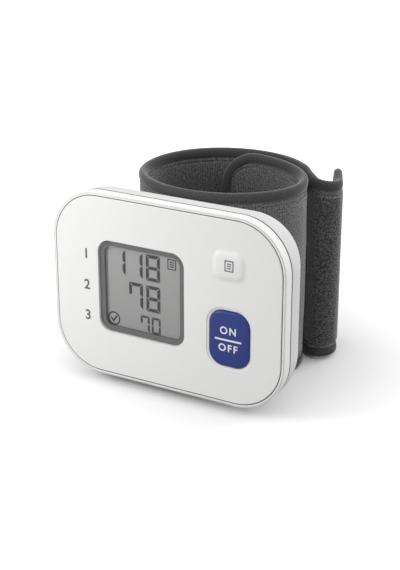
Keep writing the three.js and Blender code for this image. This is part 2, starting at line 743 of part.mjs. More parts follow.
// Buttons, each with a retaining flange and a stem over its switch
function makeButton(button) {
  const flangeFront = FACE_THICK + FIT;
  const stemEnd = plungerFront - SLIDE;
  const cap = plate(
    grownRect(button, 0),
    -BUTTON_PROUD,
    flangeFront + FLANGE_THICK / 2 + BUTTON_ROUND,
    BUTTON_ROUND,
  );
  const trimmed = cut(
    cap,
    plate(grownRect(button, FLANGE_RIM), flangeFront + FLANGE_THICK, boardFront),
  );
  const flange = plate(grownRect(button, FLANGE_RIM), flangeFront, flangeFront + FLANGE_THICK);
  const stem = rod("y", STEM_RADIUS, flangeFront, stemEnd, button.x, button.z);
  const finish = button.name === "start" ? "bluePlastic" : "whitePlastic";
  addPart(housing, `${button.name}_button`, join(trimmed, flange, stem), finish);
}

function makeSwitch(button) {
  const half = SWITCH_SIZE / 2;
  const wellDepth = PLUNGER_DEPTH + PLUNGER_TRAVEL + FIT / 2;
  const body = cut(
    box(
      button.x - half,
      button.x + half,
      switchFront,
      switchFront + SWITCH_THICK,
      button.z - half,
      button.z + half,
    ),
    rod(
      "y",
      PLUNGER_RADIUS + FIT,
      switchFront - PAST,
      switchFront + wellDepth,
      button.x,
      button.z,
    ),
  );
  const plunger = rod(
    "y",
    PLUNGER_RADIUS,
    plungerFront,
    switchFront + PLUNGER_DEPTH,
    button.x,
    button.z,
  );
  addPart(electronics, `${button.name}_switch`, body, "steel");
  addPart(electronics, `${button.name}_plunger`, plunger, "blackPlastic");
}

buttons.forEach((button) => {
  makeButton(button);
  makeSwitch(button);
});

// Circuit board with its processor and screws
function makeBoard() {
  const outline = roundedRect(
    boardRight - boardLeft + BOARD_RADIUS,
    2 * boardHalf,
    BOARD_RADIUS,
    (boardLeft + boardRight - BOARD_RADIUS) / 2,
  );
  return cut(
    plate(outline, boardFront, boardBack),
    box(
      boardLeft - 2 * BOARD_RADIUS,
      boardLeft,
      boardFront - PAST,
      boardBack + PAST,
      -BODY_HEIGHT,
      BODY_HEIGHT,
    ),
    ...boardScrewPlaces.map((p) =>
      rod("y", SHANK_RADIUS + FIT, boardFront - PAST, boardBack + PAST, ...p),
    ),
  );
}

const chip = box(
  CHIP_X - CHIP_SIZE / 2,
  CHIP_X + CHIP_SIZE / 2,
  boardBack + FIT / 2,
  boardBack + FIT / 2 + CHIP_THICK,
  CHIP_Z - CHIP_SIZE / 2,
  CHIP_Z + CHIP_SIZE / 2,
);
addPart(electronics, "circuit_board", makeBoard(), "boardGreen");
addPart(electronics, "processor_chip", chip, "blackPlastic");
const boardScrew = screwSolid(boardBack + FIT / 2 - deckBack, "back");
boardScrewPlaces.forEach(([x, z], i) => {
  const place = [x, boardBack + FIT / 2, z];
  addPart(electronics, `board_screw_${i + 1}`, boardScrew, "steel", place);
});

// Power: two cells side by side in a tray, one bridge contact and two terminals
function makeCell() {
  const shoulder = cellHalf - CELL_NUB_LENGTH;
  const profile = [
    [0, -cellHalf],
    [CELL_RADIUS, -cellHalf],
    [CELL_RADIUS, shoulder],
    [CELL_NUB_RADIUS, shoulder],
    [CELL_NUB_RADIUS, cellHalf],
    [0, cellHalf],
  ].map(([r, z]) => new THREE.Vector2(r, z));
  return solidOf(new THREE.LatheGeometry(profile, CELL_SIDES).rotateX(Math.PI / 2));
}

function makeTray() {
  const left = cellX[0] - CELL_RADIUS;
  const back = trayFront + TRAY_WALL + TRAY_DEPTH;
  const right = trayRight + TRAY_WALL;
  const end = trayEndZ + TRAY_WALL;
  const endLeft = cellX[0] - CONTACT_WIDTH / 2;
  const walls = [1, -1].map((side) => {
    const [low, high] = side > 0 ? [trayEndZ, end] : [-end, -trayEndZ];
    return box(endLeft, right, trayFront, back, low, high);
  });
  return join(
    box(left, right, trayFront, trayFront + TRAY_WALL, -end, end),
    box(trayRight, right, trayFront, back, -end, end),
    ...walls,
  );
}

// A contact strip over the given cells, with a bump towards each
function makeContact(xs, side) {
  const seat = trayEndZ - FIT;
  const face = cellHalf + FIT;
  const span = (a, b) => (side > 0 ? [a, b] : [-b, -a]);
  const strip = box(
    Math.min(...xs) - CONTACT_WIDTH / 2 + FIT,
    Math.max(...xs) + CONTACT_WIDTH / 2 - FIT,
    cellY - CONTACT_WIDTH / 2,
    cellY + CONTACT_WIDTH / 2,
    ...span(seat - CONTACT_THICK, seat),
  );
  const bumps = xs.map((x) => rod("z", CONTACT_BUMP_RADIUS, ...span(face, seat), x, cellY));
  return join(strip, ...bumps);
}

addPart(power, "battery_tray", makeTray(), "naturalPlastic");
const cell = makeCell();
addPart(power, "battery_1", cell, "cellWrap", [cellX[0], cellY, 0]);
addPart(power, "battery_2", cell, "cellWrap", [cellX[1], cellY, 0]);
addPart(power, "battery_bridge", makeContact(cellX, 1), "steel");
addPart(power, "battery_terminal_1", makeContact([cellX[0]], -1), "steel");
addPart(power, "battery_terminal_2", makeContact([cellX[1]], -1), "steel");

// Pump: motor, crank on its shaft, diaphragm and head, standing behind the buttons
function makePump() {
  const motorTop = -FIT / 2;
  const motorBottom = MOTOR_END - halfHeight;
  const headBottom = FIT / 2;
  const boreTop = headBottom + PUMP_BORE_DEPTH;
  const centre = [pumpX, pumpY];
  const shaftBottom = motorTop - SHAFT_DEPTH;
  const motor = cut(
    rod("z", PUMP_RADIUS, motorBottom, motorTop, ...centre),
    rod("z", SHAFT_RADIUS + FIT, shaftBottom - FIT, motorTop + PAST, ...centre),
  );
  const headShape = roundedRect(2 * PUMP_RADIUS, 2 * PUMP_RADIUS, PUMP_HEAD_CORNER, 0, 0);
  const headGeometry = new THREE.ExtrudeGeometry(headShape, {
    depth: PUMP_HEAD_LENGTH,
    curveSegments: ROUND_STEPS / 2,
    bevelEnabled: false,
  });
  const head = cut(
    join(
      solidOf(headGeometry.translate(pumpX, pumpY, headBottom)),
      rod("z", NOZZLE_RADIUS, pumpHeadTop - PAST, pumpHeadTop + NOZZLE_LENGTH, ...centre),
    ),
    rod("z", PUMP_BORE_RADIUS, headBottom - PAST, boreTop, ...centre),
  );
  const crank = join(
    rod("z", SHAFT_RADIUS, shaftBottom, CRANK_START + CRANK_THICK / 2, ...centre),
    rod("z", CRANK_RADIUS, CRANK_START, CRANK_START + CRANK_THICK, pumpX + CRANK_OFFSET, pumpY),
  );
  const diaphragmTop = boreTop - FIT;
  const diaphragm = rod(
    "z",
    PUMP_BORE_RADIUS - FIT,
    diaphragmTop - DIAPHRAGM_THICK,
    diaphragmTop,
    ...centre,
  );
  addPart(air, "pump_motor", motor, "steel");
  addPart(air, "pump_head", head, "naturalPlastic");
  addPart(air, "pump_crank", crank, "steel");
  addPart(air, "pump_diaphragm", diaphragm, "rubber");
}
makePump();

// Manifold with its nozzles, the sensor that plugs into it and the valve under it
function makeManifold() {
  const front = manifoldY - MANIFOLD_DEPTH / 2;
  const back = manifoldY + MANIFOLD_DEPTH / 2;
  const socket = NOZZLE_RADIUS + FIT;
  const nozzleAt = [manifoldNozzleX, manifoldNozzleY];
  const block = join(
    box(manifoldLeft, manifoldRight, front, back, manifoldBottom, manifoldTop),
    rod("z", NOZZLE_RADIUS, manifoldTop - PAST, manifoldTop + NOZZLE_LENGTH, ...nozzleAt),
    rod("x", NOZZLE_RADIUS, manifoldLeft - NOZZLE_LENGTH, manifoldLeft + PAST, ductY, DUCT_Z),
  );
  const portBottom = manifoldTop - SENSOR_PORT_DEPTH;
  const sensorBottom = manifoldTop + SENSOR_RISE;
  const sensor = join(
    box(
      sensorX - SENSOR_SIZE / 2,
      sensorX + SENSOR_SIZE / 2,
      sensorY - SENSOR_THICK / 2,
      sensorY + SENSOR_THICK / 2,
      sensorBottom,
      sensorBottom + SENSOR_SIZE,
    ),
    rod("z", NOZZLE_RADIUS, portBottom + FIT, sensorBottom + PAST, sensorX, sensorY),
  );
  const holed = cut(block, rod("z", socket, portBottom, manifoldTop + PAST, sensorX, sensorY));
  addPart(air, "air_manifold", holed, "naturalPlastic");
  addPart(electronics, "pressure_sensor", sensor, "blackPlastic");
}
makeManifold();

function makeValve() {
  const at = [valveX, manifoldY];
  const half = VALVE_WIDTH / 2;
  const body = cut(
    box(
      valveX - half,
      valveX + half,
      manifoldY - MANIFOLD_DEPTH / 2,
      manifoldY + MANIFOLD_DEPTH / 2,
      valveTop - VALVE_HEIGHT,
      valveTop,
    ),
    rod("z", VALVE_PIN_RADIUS + FIT, valveTop - VALVE_PIN_DEPTH - FIT, valveTop + PAST, ...at),
  );
  const pinTop = manifoldBottom - VALVE_TRAVEL - FIT;
  const pin = rod("z", VALVE_PIN_RADIUS, valveTop - VALVE_PIN_DEPTH, pinTop, ...at);
  addPart(air, "valve_body", body, "steel");
  addPart(air, "valve_plunger", pin, "rubber");
}
makeValve();

// A length of soft tube that sleeves over a nozzle at each end
function tubeAlong(points, steps) {
  const shape = new THREE.Shape().absarc(0, 0, TUBE_RADIUS, 0, 2 * Math.PI, false);
  const bore = new THREE.Path().absarc(0, 0, NOZZLE_RADIUS + SLIDE, 0, 2 * Math.PI, true);
  shape.holes.push(bore);
  const path = new THREE.CatmullRomCurve3(points.map((p) => new THREE.Vector3(...p)));
  return solidOf(
    new THREE.ExtrudeGeometry(shape, {
      steps,
      curveSegments: TUBE_HALF_SIDES,
      extrudePath: path,
    }),
  );
}

function makeTubes() {
  const pumpNozzleTop = pumpHeadTop + NOZZLE_LENGTH;
  const arch = quarterTurns(ROUND_STEPS).map((turn) => {
    const across = (1 - Math.cos(2 * turn)) / 2;
    return [
      pumpX + (manifoldNozzleX - pumpX) * across,
      pumpY + (manifoldNozzleY - pumpY) * across,
      pumpNozzleTop + TUBE_RISE * Math.sin(2 * turn),
    ];
  });
  const pumpRoute = [
    [pumpX, pumpY, pumpHeadTop + FIT],
    ...arch,
    [manifoldNozzleX, manifoldNozzleY, (manifoldTop + pumpNozzleTop) / 2],
    [manifoldNozzleX, manifoldNozzleY, manifoldTop + FIT],
  ];
  const elbowSide = CUFF_X + ELBOW_SIZE / 2;
  const cuffRoute = [
    [elbowSide + FIT, ductY, DUCT_Z],
    [manifoldLeft - FIT, ductY, DUCT_Z],
  ];
  addPart(air, "pump_tube", tubeAlong(pumpRoute, TUBE_STEPS), "clearTube");
  addPart(air, "cuff_tube", tubeAlong(cuffRoute, 1), "clearTube");
}
makeTubes();

function makeElbow() {
  const half = ELBOW_SIZE / 2;
  const back = saddleInside - SLIDE;
  const socketFront = back - NIPPLE_SEAT - FIT;
  const block = join(
    box(
      CUFF_X - half,
      CUFF_X + half,
      ductY - NOZZLE_RADIUS - PAST / 2,
      back,
      DUCT_Z - half,
      DUCT_Z + half,
    ),
    rod("x", NOZZLE_RADIUS, CUFF_X, CUFF_X + half + NOZZLE_LENGTH, ductY, DUCT_Z),
  );
  return cut(block, rod("y", NIPPLE_RADIUS + FIT, socketFront, back + PAST, CUFF_X, DUCT_Z));
}
addPart(air, "cuff_elbow", makeElbow(), "naturalPlastic");

// Cuff: four lengths of strap, hinged to each other where the real strap flexes
const hinges = [HINGE_DEGREES.left, HINGE_DEGREES.back, HINGE_DEGREES.tail].map(strapPlace);
const lengths = {
  base: [0, hinges[0] - HINGE_GAP / 2],
  left: [hinges[0] + HINGE_GAP / 2, hinges[1] - HINGE_GAP / 2],
  back: [hinges[1] + HINGE_GAP / 2, hinges[2] - HINGE_GAP / 2],
  tail: [hinges[2] + HINGE_GAP / 2, strapEnd],
};

const cuffFront = cuffY - ringRadius;
const layerGrow = -POCKET_MARGIN - LAYER_GAP - FIT;
const nippleHole = (grow) =>
  rod("y", NIPPLE_RADIUS + grow, boardBack, cuffFront + strapHalf / 2, CUFF_X, DUCT_Z);

function makeBaseSleeve() {
  const bossHoles = cuffScrewPlaces.map((p) =>
    rod("y", BOSS_RADIUS + SLIDE, boardBack, cuffFront, ...p),
  );
  return cut(sleeve(...lengths.base), ...bossHoles, nippleHole(SLIDE));
}

function makeBaseCurler() {
  const bosses = cuffScrewPlaces.map((p) =>
    rod("y", BOSS_RADIUS, saddleY + FIT, cuffFront - (curlerOuter + curlerInner) / 2, ...p),
  );
  const holes = cuffScrewPlaces.map((p) =>
    rod("y", SHANK_RADIUS + FIT / 2, boardBack, cuffFront, ...p),
  );
  const blank = band(...lengths.base, layerGrow, curlerInner, curlerOuter);
  return cut(join(blank, ...bosses), ...holes, nippleHole(SLIDE));
}

function makeBladder() {
  const nippleFront = saddleInside - SLIDE - NIPPLE_SEAT;
  const skin = cuffFront - (bladderOuter + bladderInner) / 2;
  const last = strapPlace(HINGE_DEGREES.left) - HINGE_GAP;
  return join(
    band(last - BLADDER_SPAN, last, layerGrow, bladderInner, bladderOuter),
    rod("y", NIPPLE_RADIUS, nippleFront, skin, CUFF_X, DUCT_Z),
  );
}

addPart(cuff, "cuff_sleeve_base", makeBaseSleeve(), "fabric");
addPart(cuff, "cuff_curler_base", makeBaseCurler(), "curler");
addPart(cuff, "air_bladder", makeBladder(), "bladder");
["left", "back"].forEach((name) => {
  const curler = band(...lengths[name], layerGrow, curlerInner, curlerOuter);
  addPart(cuff, `cuff_sleeve_${name}`, sleeve(...lengths[name]), "fabric");
  addPart(cuff, `cuff_curler_${name}`, curler, "curler");
});
addPart(cuff, "cuff_sleeve_tail", sleeve(...lengths.tail), "fabric");
Object.entries(lengths).forEach(([name, span]) => {
  ["top", "bottom"].forEach((side) => {
    addPart(cuff, `cuff_binding_${name}_${side}`, binding(...span, side), "binding");
  });
});
const hookTape = band(
  tailMarks[0] + HOOK_START,
  strapEnd - HOOK_MARGIN,
  -HOOK_MARGIN,
  -strapHalf - FIT - HOOK_THICK,
  -strapHalf - FIT,
);
addPart(cuff, "hook_tape", hookTape, "hook");
const cuffScrewSeat = saddleInside - FIT;
const cuffScrew = screwSolid(cuffFront - curlerInner - FIT - cuffScrewSeat, "front");
cuffScrewPlaces.forEach(([x, z], i) => {
  addPart(cuff, `cuff_screw_${i + 1}`, cuffScrew, "steel", [x, cuffScrewSeat, z]);
});

// The origin is on the floor, under the middle of the whole.
const bounds = new THREE.Box3().setFromObject(monitor);
const middle = bounds.getCenter(new THREE.Vector3());
monitor.position.set(-middle.x, -middle.y, -bounds.min.z);

const part = new THREE.Group();
part.add(monitor);

export default part;
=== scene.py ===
import json
import math
from typing import NamedTuple

import bmesh
import bpy
import numpy as np
from bpy.props import FloatProperty, FloatVectorProperty, PointerProperty
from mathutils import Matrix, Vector, noise


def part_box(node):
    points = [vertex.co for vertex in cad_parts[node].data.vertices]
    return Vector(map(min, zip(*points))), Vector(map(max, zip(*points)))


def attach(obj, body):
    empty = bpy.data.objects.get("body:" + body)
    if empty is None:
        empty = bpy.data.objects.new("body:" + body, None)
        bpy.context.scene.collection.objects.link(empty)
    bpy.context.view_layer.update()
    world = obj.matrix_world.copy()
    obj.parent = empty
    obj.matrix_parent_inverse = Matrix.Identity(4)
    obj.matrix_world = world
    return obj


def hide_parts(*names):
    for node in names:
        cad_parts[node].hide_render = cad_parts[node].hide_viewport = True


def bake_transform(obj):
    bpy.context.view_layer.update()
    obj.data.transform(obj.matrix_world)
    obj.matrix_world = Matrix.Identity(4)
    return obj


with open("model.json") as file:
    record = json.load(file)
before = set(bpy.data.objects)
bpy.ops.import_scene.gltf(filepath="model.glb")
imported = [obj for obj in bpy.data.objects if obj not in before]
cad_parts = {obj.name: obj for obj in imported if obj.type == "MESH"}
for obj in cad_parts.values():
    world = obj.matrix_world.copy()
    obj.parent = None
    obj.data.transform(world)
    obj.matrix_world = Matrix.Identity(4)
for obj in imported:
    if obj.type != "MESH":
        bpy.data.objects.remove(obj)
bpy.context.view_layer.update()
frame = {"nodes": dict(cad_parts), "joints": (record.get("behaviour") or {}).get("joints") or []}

bl_info = {
    "name": "Wrist Blood Pressure Monitor",
    "version": (1, 0, 0),
    "blender": (4, 5, 0),
    "location": "View3D > Sidebar > Monitor",
    "description": "Builds the housing, display, buttons and cuff of a wrist monitor",
    "category": "Object",
}


def mm(value):
    """Millimetres as metres."""
    return value / 1000


def shade(*levels):
    """A colour as it shows on a screen, 0 to 255, as the linear values that shaders take."""
    shares = [level / 255 for level in levels]
    return tuple(v / 12.92 if v <= 0.04045 else ((v + 0.055) / 1.055) ** 2.4 for v in shares)


def number(name, description, default, **kind):
    """A property that holds one number."""
    return FloatProperty(name=name, description=description, default=default, **kind)


def length(name, description, default):
    """A length, its default in millimetres."""
    return number(name, description, mm(default), unit="LENGTH", precision=5)


def angle(name, description, default):
    """An angle, its default in degrees."""
    return number(name, description, math.radians(default), subtype="ANGLE")


def colour(name, description, *default):
    """A colour, its default as shown on a screen."""
    kind = {"subtype": "COLOR", "size": 3, "min": 0, "max": 1}
    return FloatVectorProperty(name=name, description=description, default=shade(*default), **kind)


# Places that the frame gives
FACE_LOW, FACE_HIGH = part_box("faceplate")
CASE_LOW, CASE_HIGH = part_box("front_case")
REAR_LOW, REAR_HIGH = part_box("rear_case")
COVER_LOW, COVER_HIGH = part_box("battery_cover")
FACE_Y = FACE_LOW.y
MIDDLE_Z = (CASE_LOW.z + CASE_HIGH.z) / 2
BODY_WIDTH = CASE_HIGH.x - CASE_LOW.x
BODY_HEIGHT = CASE_HIGH.z - CASE_LOW.z
BODY_DEPTH = REAR_HIGH.y - FACE_Y
REAR_FRONT = REAR_LOW.y - FACE_Y
FACE_THICK = FACE_HIGH.y - FACE_Y
CUFF_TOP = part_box("cuff_binding_base_top")[1].z
CUFF_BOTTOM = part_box("cuff_binding_base_bottom")[0].z

# Clearances of seats and slides, how far a tool reaches past its piece, and a button's flange
FIT = mm(0.2)
SLIDE = mm(0.3)
PAST = mm(1)
FLANGE_RIM = mm(1.1)

# Fineness of curves, and the angle from which an edge shows as a crease
SHARP = math.radians(30)
LEAST_RADIUS = mm(0.2)
CORNER_STEPS = 20
ROUND_STEPS = 8
RIM_STEPS = 5
EDGE_STEPS = 4
REAR_STEPS = 28
SADDLE_SIDES = 240
ROD_SIDES = 40


class HousingSettings(bpy.types.PropertyGroup):
    """Sizes and colours of the plastic housing"""

    corner_radius: length("Corner radius", "Radius of the housing's four corners", 17)
    wall: length("Wall", "Thickness of the cases' walls", 1.5)
    rim_width: length("Rim width", "Rim of the front case round the faceplate", 0.95)
    face_gap: length("Face gap", "Joint between the rim and the faceplate", 0.28)
    # Places the dark cord in the joint round the faceplate; that cord is painted shadow
    face_drop: length("Face seal drop", "Rim to the cord round the faceplate", 0.03)
    rim_round: length("Rim rounding", "Rounding of the rim's outer edge", 0.22)
    groove_width: length("Groove width", "Width of the fine groove along the rim", 0.2)
    groove_depth: length("Groove depth", "Depth of the fine groove along the rim", 0.35)
    # Places the dark cord in the seam between the cases; that cord is painted shadow
    seal_drop: length("Seal drop", "Surface to the cord between the cases", 0.04)
    rim_setback: length("Rim setback", "Rim behind the face", 0.25)
    seam_depth: length("Seam depth", "Face to the seam between the cases", 3.9)
    seam_round: length("Seam rounding", "Rounding of the edges along the seam", 0.15)
    deck_thick: length("Deck", "Thickness of the wall behind the faceplate", 1.5)
    face_round: length("Face rounding", "Rounding of the faceplate's edge", 0.3)
    rear_straight: length("Straight depth", "Depth where the rear case starts to round off", 5)
    rear_inset: length("Rear inset", "How far the outline has drawn in at the back", 11)
    cover_edge: length("Cover edge", "Left side of the housing to the cover's inner edge", 8.5)
    post_radius: length("Screw post", "Radius of the posts of the case screws", 2.6)
    post_front: length("Post front", "Face to the front of the screw posts", 5.8)
    screw_head: length("Screw head", "Height of a case screw's head", 1.1)
    white: colour("Plastic", "Colour of the housing", 238, 238, 238)
    ink: colour("Print", "Colour of the marks on the face", 88, 90, 96)


class DisplaySettings(bpy.types.PropertyGroup):
    """Sizes and colours of the display"""

    window_radius: length("Window corner", "Corner radius of the window", 4.3)
    mask_width: length("Mask width", "Width of the dark frame", 1.8)
    mask_wall: length("Mask wall", "Thickness of the frame's inner wall", 0.3)
    view_radius: length("Panel corner", "Corner radius of the panel", 2.8)
    digit_height: length("Digit height", "Height of the two large rows", 8.8)
    digit_width: length("Digit width", "Width of a large digit", 5.25)
    digit_pitch: length("Digit pitch", "From one large digit to the next", 6.4)
    digit_stroke: length("Digit stroke", "Width of a large digit's segments", 1.15)
    small_share: number("Small row", "Size of the lowest row's digits", 0.64, min=0.1, max=1)
    digits_right: length("Digits' right", "Right edge of the rows, from the face's middle", -2.6)
    upper_row: length("Upper row", "Bottom of the upper row, from the face's middle", 4.35)
    middle_row: length("Middle row", "Bottom of the middle row, from the face's middle", -6.05)
    lower_row: length("Lower row", "Bottom of the lower row, from the face's middle", -13.5)
    frame_grey: colour("Frame", "Colour of the dark frame", 106, 106, 107)
    panel_grey: colour("Panel", "Colour of the panel", 172, 172, 171)
    segment_grey: colour("Segments", "Colour of the digits", 40, 40, 41)


class ButtonSettings(bpy.types.PropertyGroup):
    """Sizes and colours of the push buttons"""

    start_radius: length("Start corner", "Corner radius of the start button", 5)
    memory_radius: length("Memory corner", "Corner radius of the memory button", 3.6)
    start_edge: length("Start edge", "Width of the start button's rounded edge", 1.0)
    memory_edge: length("Memory edge", "Width of the memory button's soft edge", 2)
    crown: length("Crown", "How far a button's top rises from its edge to its middle", 0.15)
    dish: length("Dish", "Width of the dished edge round the start button", 0.85)
    dish_depth: length("Dish depth", "Depth of that dished edge", 0.3)
    gap: length("Gap", "Clearance round the start button", 0.1)
    soft_gap: length("Soft gap", "Clearance round the memory button", 0.03)
    letter_height: length("Letter height", "Height of the start button's letters", 2.45)
    bar_width: length("Bar width", "Width of the bar between the letters", 0.6)
    blue: colour("Blue", "Colour of the start button", 31, 51, 127)
    mark: colour("Mark", "Colour of the start button's marks", 236, 238, 244)


class CuffSettings(bpy.types.PropertyGroup):
    """Sizes and colours of the cuff"""

    width: length("Width", "Outside of the ring, from left to right", 59)
    depth: length("Depth", "Outside of the ring, from front to back", 53.4)
    middle_x: length("Middle", "Middle of the ring, to the right of the face's middle", -1.6)
    behind: length("Behind", "Middle of the ring behind the face", 42)
    clear: length("Clearance", "Ring to the rear case's saddle", 0.3)
    thick: length("Thickness", "Thickness of the padded strap", 2.1)
    edge_thick: length("Edge thickness", "Thickness of the bound edge", 2.8)
    edge_width: length("Edge width", "Width of the bound edge", 3.2)
    pinch: length("Pinch", "How far the binding draws the strap in beside it", 0.55)
    sewn_line: length("Sewn line", "Bound edge to the line of stitching beside it", 1.5)
    sewn_depth: length("Sewn depth", "How far that stitching draws the strap in", 0.5)
    bulge: length("Bulge", "How far the padding swells at mid-height", 0.3)
    lap_pitch: length("Lap", "How far inside the ring the strap starts", 4.6)
    strap_start: angle("Strap start", "Where the strap starts, about the ring's middle", 120)
    lap_end: angle("Lap end", "Where the strap starts to run outwards", 75)
    ring_start: angle("Ring start", "Where the strap has reached the ring", -20)
    tail_start: angle("Tail start", "Where the tail leaves the ring", 43)
    tail_straight: length("Tail straight", "Straight length before the tail's fold", 9)
    tail_bend: angle("Tail fold", "How far the tail folds back", 160)
    tail_radius: length("Fold radius", "Radius of the tail's fold", 4.2)
    tail_end: length("Tail end", "Length of the tail past its fold", 20)
    narrowing: length("Narrowing", "How much lower the tail's top is than the ring's", 2.1)
    lower_share: number("Lower share", "Narrowing at the bottom as a share of the top's", 0.6)
    back_rise: length("Back rise", "How much higher the ring's top edge is at the back", 0.72)
    tip_rise: length("Tip rise", "How far the tail's end rises again past its fold", 1.1)
    end_radius: length("End corner", "Corner radius of the strap's ends", 12.35)
    hook_thick: length("Hook tape", "Thickness of the hook tape", 0.5)
    hook_margin: length("Hook margin", "Edge of the strap to the hook tape", 5.35)
    hook_start: length("Hook start", "Start of the tail to the hook tape", 12)
    knit: colour("Knit", "Colour of the cuff's fabric", 97, 97, 97)
    tape: colour("Tape", "Colour of the bound edge", 70, 70, 70)
    hook: colour("Hook", "Colour of the hook tape", 84, 84, 84)


class StageSettings(bpy.types.PropertyGroup):
    """Camera, light and floor"""

    azimuth: angle("Azimuth", "Camera to the right of the face", 30.027)
    elevation: angle("Elevation", "Camera above the horizon", 21.2105)
    distance: length("Distance", "Camera to what it looks at", 392.315)
    target_x: length("Target X", "What the camera looks at, from the face's middle", 12.817)
    target_z: length("Target Z", "What the camera looks at, above the face's middle", 7.381)
    lens: number("Lens", "Focal length in millimetres", 81.18, min=1)
    key: number("Key light", "Strength of the light from above", 2.0)
    key_spread: angle("Key spread", "Width of the light from above; wider is softer", 140)
    side: number("Side light", "Power of the near left light", 0.19, unit="POWER")
    rim: number("Rim light", "Power of the right rear light", 2.4, unit="POWER")
    fill: number("Fill light", "Power of the low right light", 0.3, unit="POWER")
    ambient: number("Ambient", "Strength of the light all round", 0.13)
    floor_lift: number("Floor lift", "White added to the floor by the object", 0.0)
    far_lift: number("Far lift", "White added to the floor away from the object", 0.4)
    lift_start: length("Lift start", "Middle of the floor to where it starts to whiten", 30)
    lift_end: length("Lift end", "Middle of the floor to where it is white", 120)
    floor: colour("Floor", "Colour of the floor as the camera sees it", 255, 255, 255)
    floor_bounce: colour("Bounce", "Colour of the floor as it lights the object", 165, 165, 165)


# Finishes

WHITE = (1, 1, 1, 1)


def wire(tree, node, sockets):
    """Gives each of a node's sockets its constant or its link."""
    for socket, value in dict(sockets).items():
        if isinstance(value, bpy.types.NodeSocket):
            tree.links.new(value, node.inputs[socket])
        else:
            node.inputs[socket].default_value = value


def add_node(tree, kind, sockets=(), **settings):
    """A new shader node: its settings come first, because they decide which sockets it has."""
    node = tree.nodes.new(f"ShaderNode{kind}")
    for name, value in settings.items():
        setattr(node, name, value)
    wire(tree, node, sockets)
    return node


class Finish:
    """A material in the making: its shader, and textures that start from one set of coordinates"""

    rib_sockets = {"Distortion": 0.6, "Detail": 1, "Detail Scale": 2}

    def __init__(self, name, roughness, coordinates="Object", **constants):
        self.material = bpy.data.materials.new(name)
        self.material.use_nodes = True
        self.tree = self.material.node_tree
        self.shader = self.tree.nodes["Principled BSDF"]
        self.give(Roughness=roughness, **constants)
        self.place = add_node(self.tree, "TexCoord").outputs[coordinates]

    def give(self, **sockets):
        """Gives the shader's sockets constants or links; an underscore stands for a space."""
        named = {socket.replace("_", " "): value for socket, value in sockets.items()}
        wire(self.tree, self.shader, named)

    def texture(self, kind, output, scale, sockets=(), **settings):
        """A texture at a scale to the metre."""
        sockets = {"Vector": self.place, "Scale": scale, **dict(sockets)}
        return add_node(self.tree, f"Tex{kind}", sockets, **settings).outputs[output]

    def noise(self, scale, detail=3):
        """Noise with that many features to a metre."""
        return self.texture("Noise", "Fac", scale, {"Detail": detail})

    def cells(self, scale):
        """Small cells with that many to a metre."""
        return self.texture("Voronoi", "Distance", scale)

    def ribs(self, pitch, direction):
        """Even ribs, pitch metres apart."""
        scale = math.pi / 10 / pitch
        return self.texture("Wave", "Fac", scale, self.rib_sockets, bands_direction=direction)

    def combine(self, operation, *values):
        """Textures or numbers put together by one sum."""
        return add_node(self.tree, "Math", enumerate(values), operation=operation).outputs[0]

    def tint(self, factor, dark, light, low=0.3, high=0.7):
        """Colours the surface from dark to light as a texture says."""
        ramp = add_node(self.tree, "ValToRGB", {"Fac": factor})
        first, last = ramp.color_ramp.elements
        first.position, last.position = low, high
        first.color, last.color = (*dark, 1), (*light, 1)
        self.give(Base_Color=ramp.outputs["Color"])

    def gloss(self, factor, low, high):
        """Varies the roughness as a texture says."""
        spread = add_node(self.tree, "MapRange", {"Value": factor, "To Min": low, "To Max": high})
        self.give(Roughness=spread.outputs["Result"])

    def bump(self, height, distance, strength=1.0):
        """Raises the surface by up to a distance as a texture says."""
        sockets = {"Height": height, "Distance": distance, "Strength": strength}
        self.give(Normal=add_node(self.tree, "Bump", sockets).outputs["Normal"])


def scaled(base, share):
    """A colour made lighter or darker."""
    return tuple(min(1, level * share) for level in base)


def clouded(name, base, roughness, tint, gloss=None, grain=None, **constants):
    """A finish with clouds in its colour, gloss and relief.

    Each is given by its scale first. Then tint has its darkest and lightest share, gloss has its
    spread, and grain has its detail, height and strength.
    """
    made = Finish(name, roughness, **constants)
    scale, dark, light = tint
    made.tint(made.noise(scale), scaled(base, dark), scaled(base, light))
    if gloss:
        scale, spread = gloss
        made.gloss(made.noise(scale), roughness - spread, roughness + spread)
    if grain:
        scale, detail, height, strength = grain
        made.bump(made.noise(scale, detail), height, strength)
    return made.material


def moulded(name, base, roughness, spread=0.02, shine=0.5):
    """Moulded plastic: an even colour, faint clouds in its gloss and a fine grain."""
    tint, grain = (90, 1 - spread, 1 + spread), (5200, 2, mm(0.012), 0.35)
    return clouded(name, base, roughness, tint, (400, 0.05), grain, Specular_IOR_Level=shine)


def printed(name, base):
    """Ink on plastic, slightly uneven."""
    return clouded(name, base, 0.5, (2500, 0.94, 1.06))


def metal(name, base, roughness):
    """Plated steel with faint turning marks."""
    tint, grain = (300, 0.9, 1.05), (4000, 1, mm(0.01), 0.3)
    return clouded(name, base, roughness, tint, (1800, 0.08), grain, Metallic=1)


def film(name, base, roughness, clearness):
    """Thin, slightly clear sheet or tube."""
    tint, grain = (150, 0.93, 1.05), (900, 3, mm(0.02), 0.3)
    return clouded(name, base, roughness, tint, (600, 0.06), grain, Transmission_Weight=clearness)


def clear_pane(name):
    """Clear window plastic that leaves a faint sheen over what it covers."""
    made = Finish(name, 0.06, Alpha=0.06)
    made.tint(made.noise(60), (0.1, 0.105, 0.11), (0.16, 0.165, 0.17))
    made.gloss(made.noise(700), 0.05, 0.09)
    return made.material


